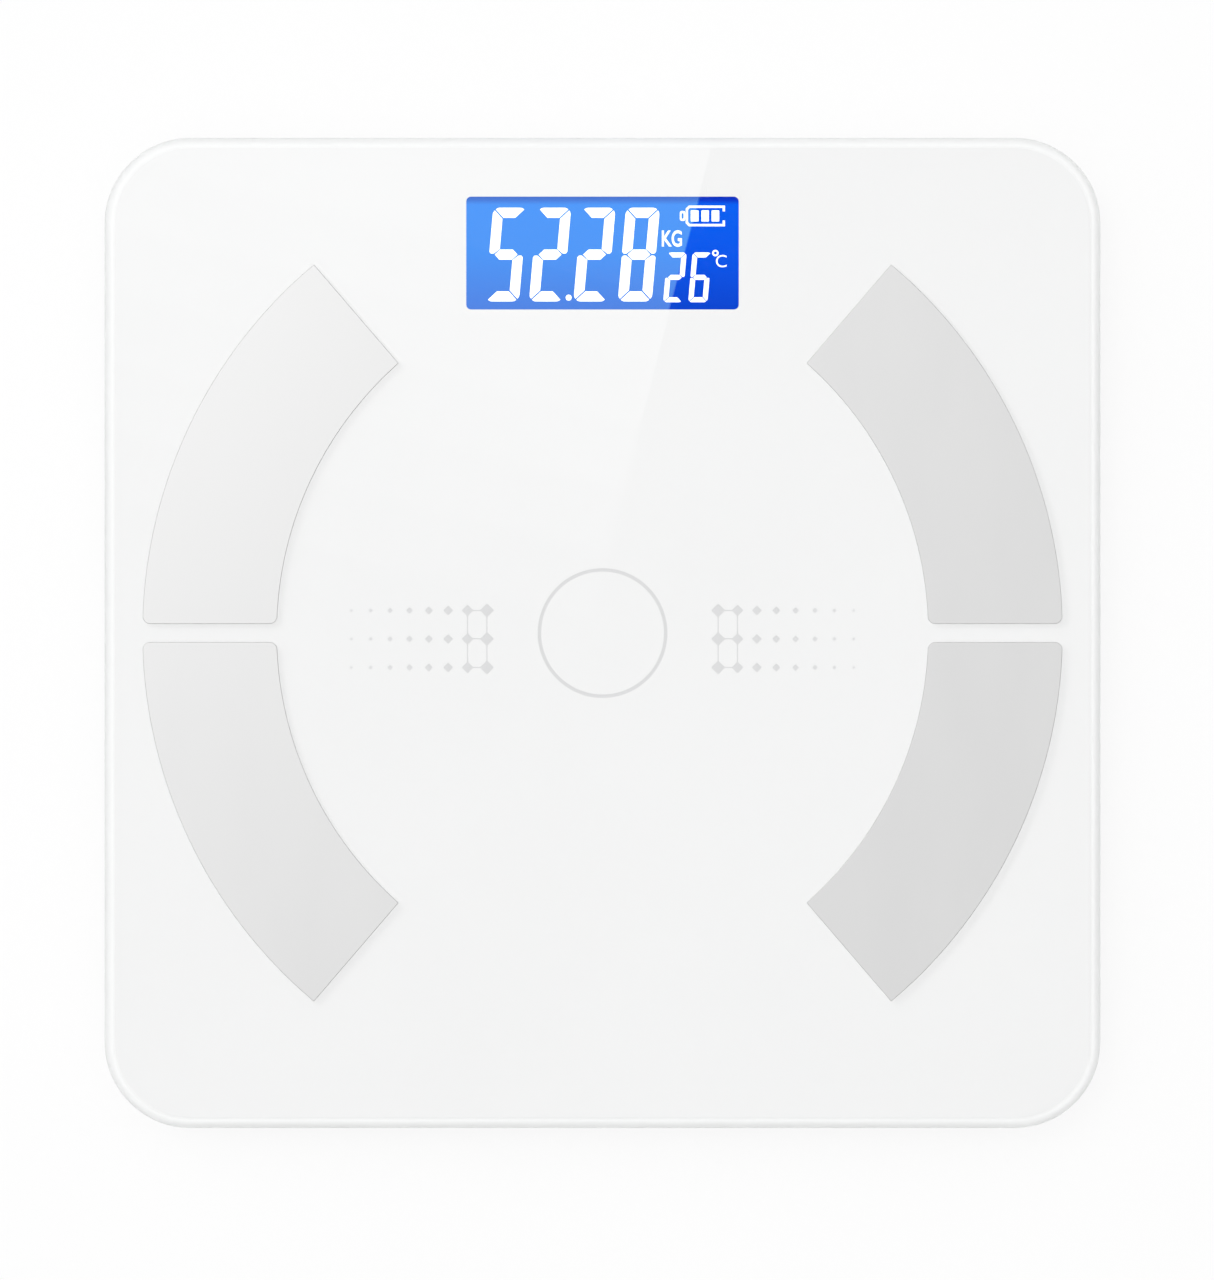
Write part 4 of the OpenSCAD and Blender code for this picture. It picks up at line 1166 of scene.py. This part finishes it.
def floor():
    """White paper that takes the scale's shadow, and that a view from below looks through."""
    f = Finish("floor_paper", Roughness=0.9, Specular_IOR_Level=0.1)
    f.set(Base_Color=f.blend(
        f.spread(f.noise(90 * MM, 3), 0, 1), (0.89, 0.89, 0.89), (0.9, 0.9, 0.9)))
    path = f.node("ShaderNodeLightPath", output="Is Camera Ray")
    seen = path.greatest(path.beside("Is Glossy Ray").greatest(path.beside("Is Transmission Ray")))
    glow = f.node("ShaderNodeEmission", {}, {"Color": (1.0, 1.0, 1.0), "Strength": 1.0})
    lit = f.node("ShaderNodeMixShader", {}, [seen * 0.8, f.shader, glow])
    behind = f.node("ShaderNodeNewGeometry", output="Backfacing")
    clear = f.node("ShaderNodeBsdfTransparent")
    paper = f.done(f.node("ShaderNodeMixShader", {}, [behind, lit, clear]))
    bm = bmesh.new()
    bmesh.ops.create_grid(bm, x_segments=4, y_segments=4, size=FLOOR_HALF)
    sheet = new_piece("floor", bm, [paper], body=None)


def room():
    """Even room light, a little stronger from the upper left, dark round the camera."""
    world = bpy.data.worlds.new("room")
    scene.world = world
    world.use_nodes = True
    tree = world.node_tree
    tree.nodes.clear()
    x, y, z = add_node(tree, "ShaderNodeTexCoord", output="Generated").axes()
    overhead = add_node(tree, "ShaderNodeValToRGB", {"stops": [
        (math.cos(math.radians(angle)), (light,) * 3) for angle, light in ROOM_HEIGHTS
    ]}, [z])
    lean = 1 - x * ROOM_LEFT + y * ROOM_TOE + (y - x) * (1 - z) * ROOM_LOW
    seen = add_node(tree, "ShaderNodeLightPath", output="Is Camera Ray")
    strength = overhead * lean * ROOM_LIGHT * (1 - seen) + seen
    background = add_node(tree, "ShaderNodeBackground", {}, {
        "Color": (1.0, 1.0, 1.0), "Strength": strength})
    add_node(tree, "ShaderNodeOutputWorld", {}, {"Surface": background})
    world.cycles.sampling_method = "NONE"


def panel_light(name, size, brightness, place, turn=(0, 0, 0)):
    """A rectangular lamp whose face has this brightness, facing down unless it is turned."""
    lamp = bpy.data.lights.new(name, "AREA")
    lamp.shape = "RECTANGLE"
    lamp.size, lamp.size_y = size
    lamp.energy = brightness * 4 * size[0] * size[1]    # a face shines at a quarter of its W/m2
    holder = bpy.data.objects.new(name, lamp)
    scene.collection.objects.link(holder)
    holder.location = place
    holder.rotation_euler = turn
    holder.visible_camera = False


def softbox():
    """Wide box up and to the left, whose edge the glass mirrors as a faint slanting line.

    It is a few panels, one just above the next, so that its heel end fades out in steps.
    """
    turned = Matrix.Rotation(-SOFTBOX_TURN, 3, "Z")
    for step in range(SOFTBOX_STEPS):
        end = SOFTBOX_END + SOFTBOX_FADE * ((step + 0.5) / SOFTBOX_STEPS - 0.5)
        middle = turned @ Vector((-SOFTBOX[0] / 2, end + SOFTBOX[1] / 2, step * SOFTBOX_GAP))
        place = middle + Vector((SOFTBOX_EDGE, 0, glass_top + SOFTBOX_HEIGHT))
        name = "softbox_" + str(step + 1)
        panel_light(name, SOFTBOX, SOFTBOX_LIGHT / SOFTBOX_STEPS, place, (0, 0, -SOFTBOX_TURN))


def key_light():
    """Small box at the upper left that shades the edges of what stands on the glass."""
    place = Vector(KEY_PLACE)
    turn = place.to_track_quat("Z", "Y").to_euler()
    panel_light("key", KEY_SIZE, KEY_LIGHT, place + Vector((0, 0, glass_top)), turn)


def camera():
    """Straight above the scale, a little off its middle."""
    lens = bpy.data.cameras.new("camera")
    lens.sensor_width = 36.0
    lens.lens = lens.sensor_width * CAMERA_HEIGHT / VIEW_HEIGHT
    lens.clip_end = 100
    holder = bpy.data.objects.new("camera", lens)
    scene.collection.objects.link(holder)
    holder.location = (*CAMERA_PLACE, glass_top + CAMERA_HEIGHT)
    scene.camera = holder


floor()
room()
softbox()
key_light()
camera()
scene.view_settings.view_transform = "Standard"
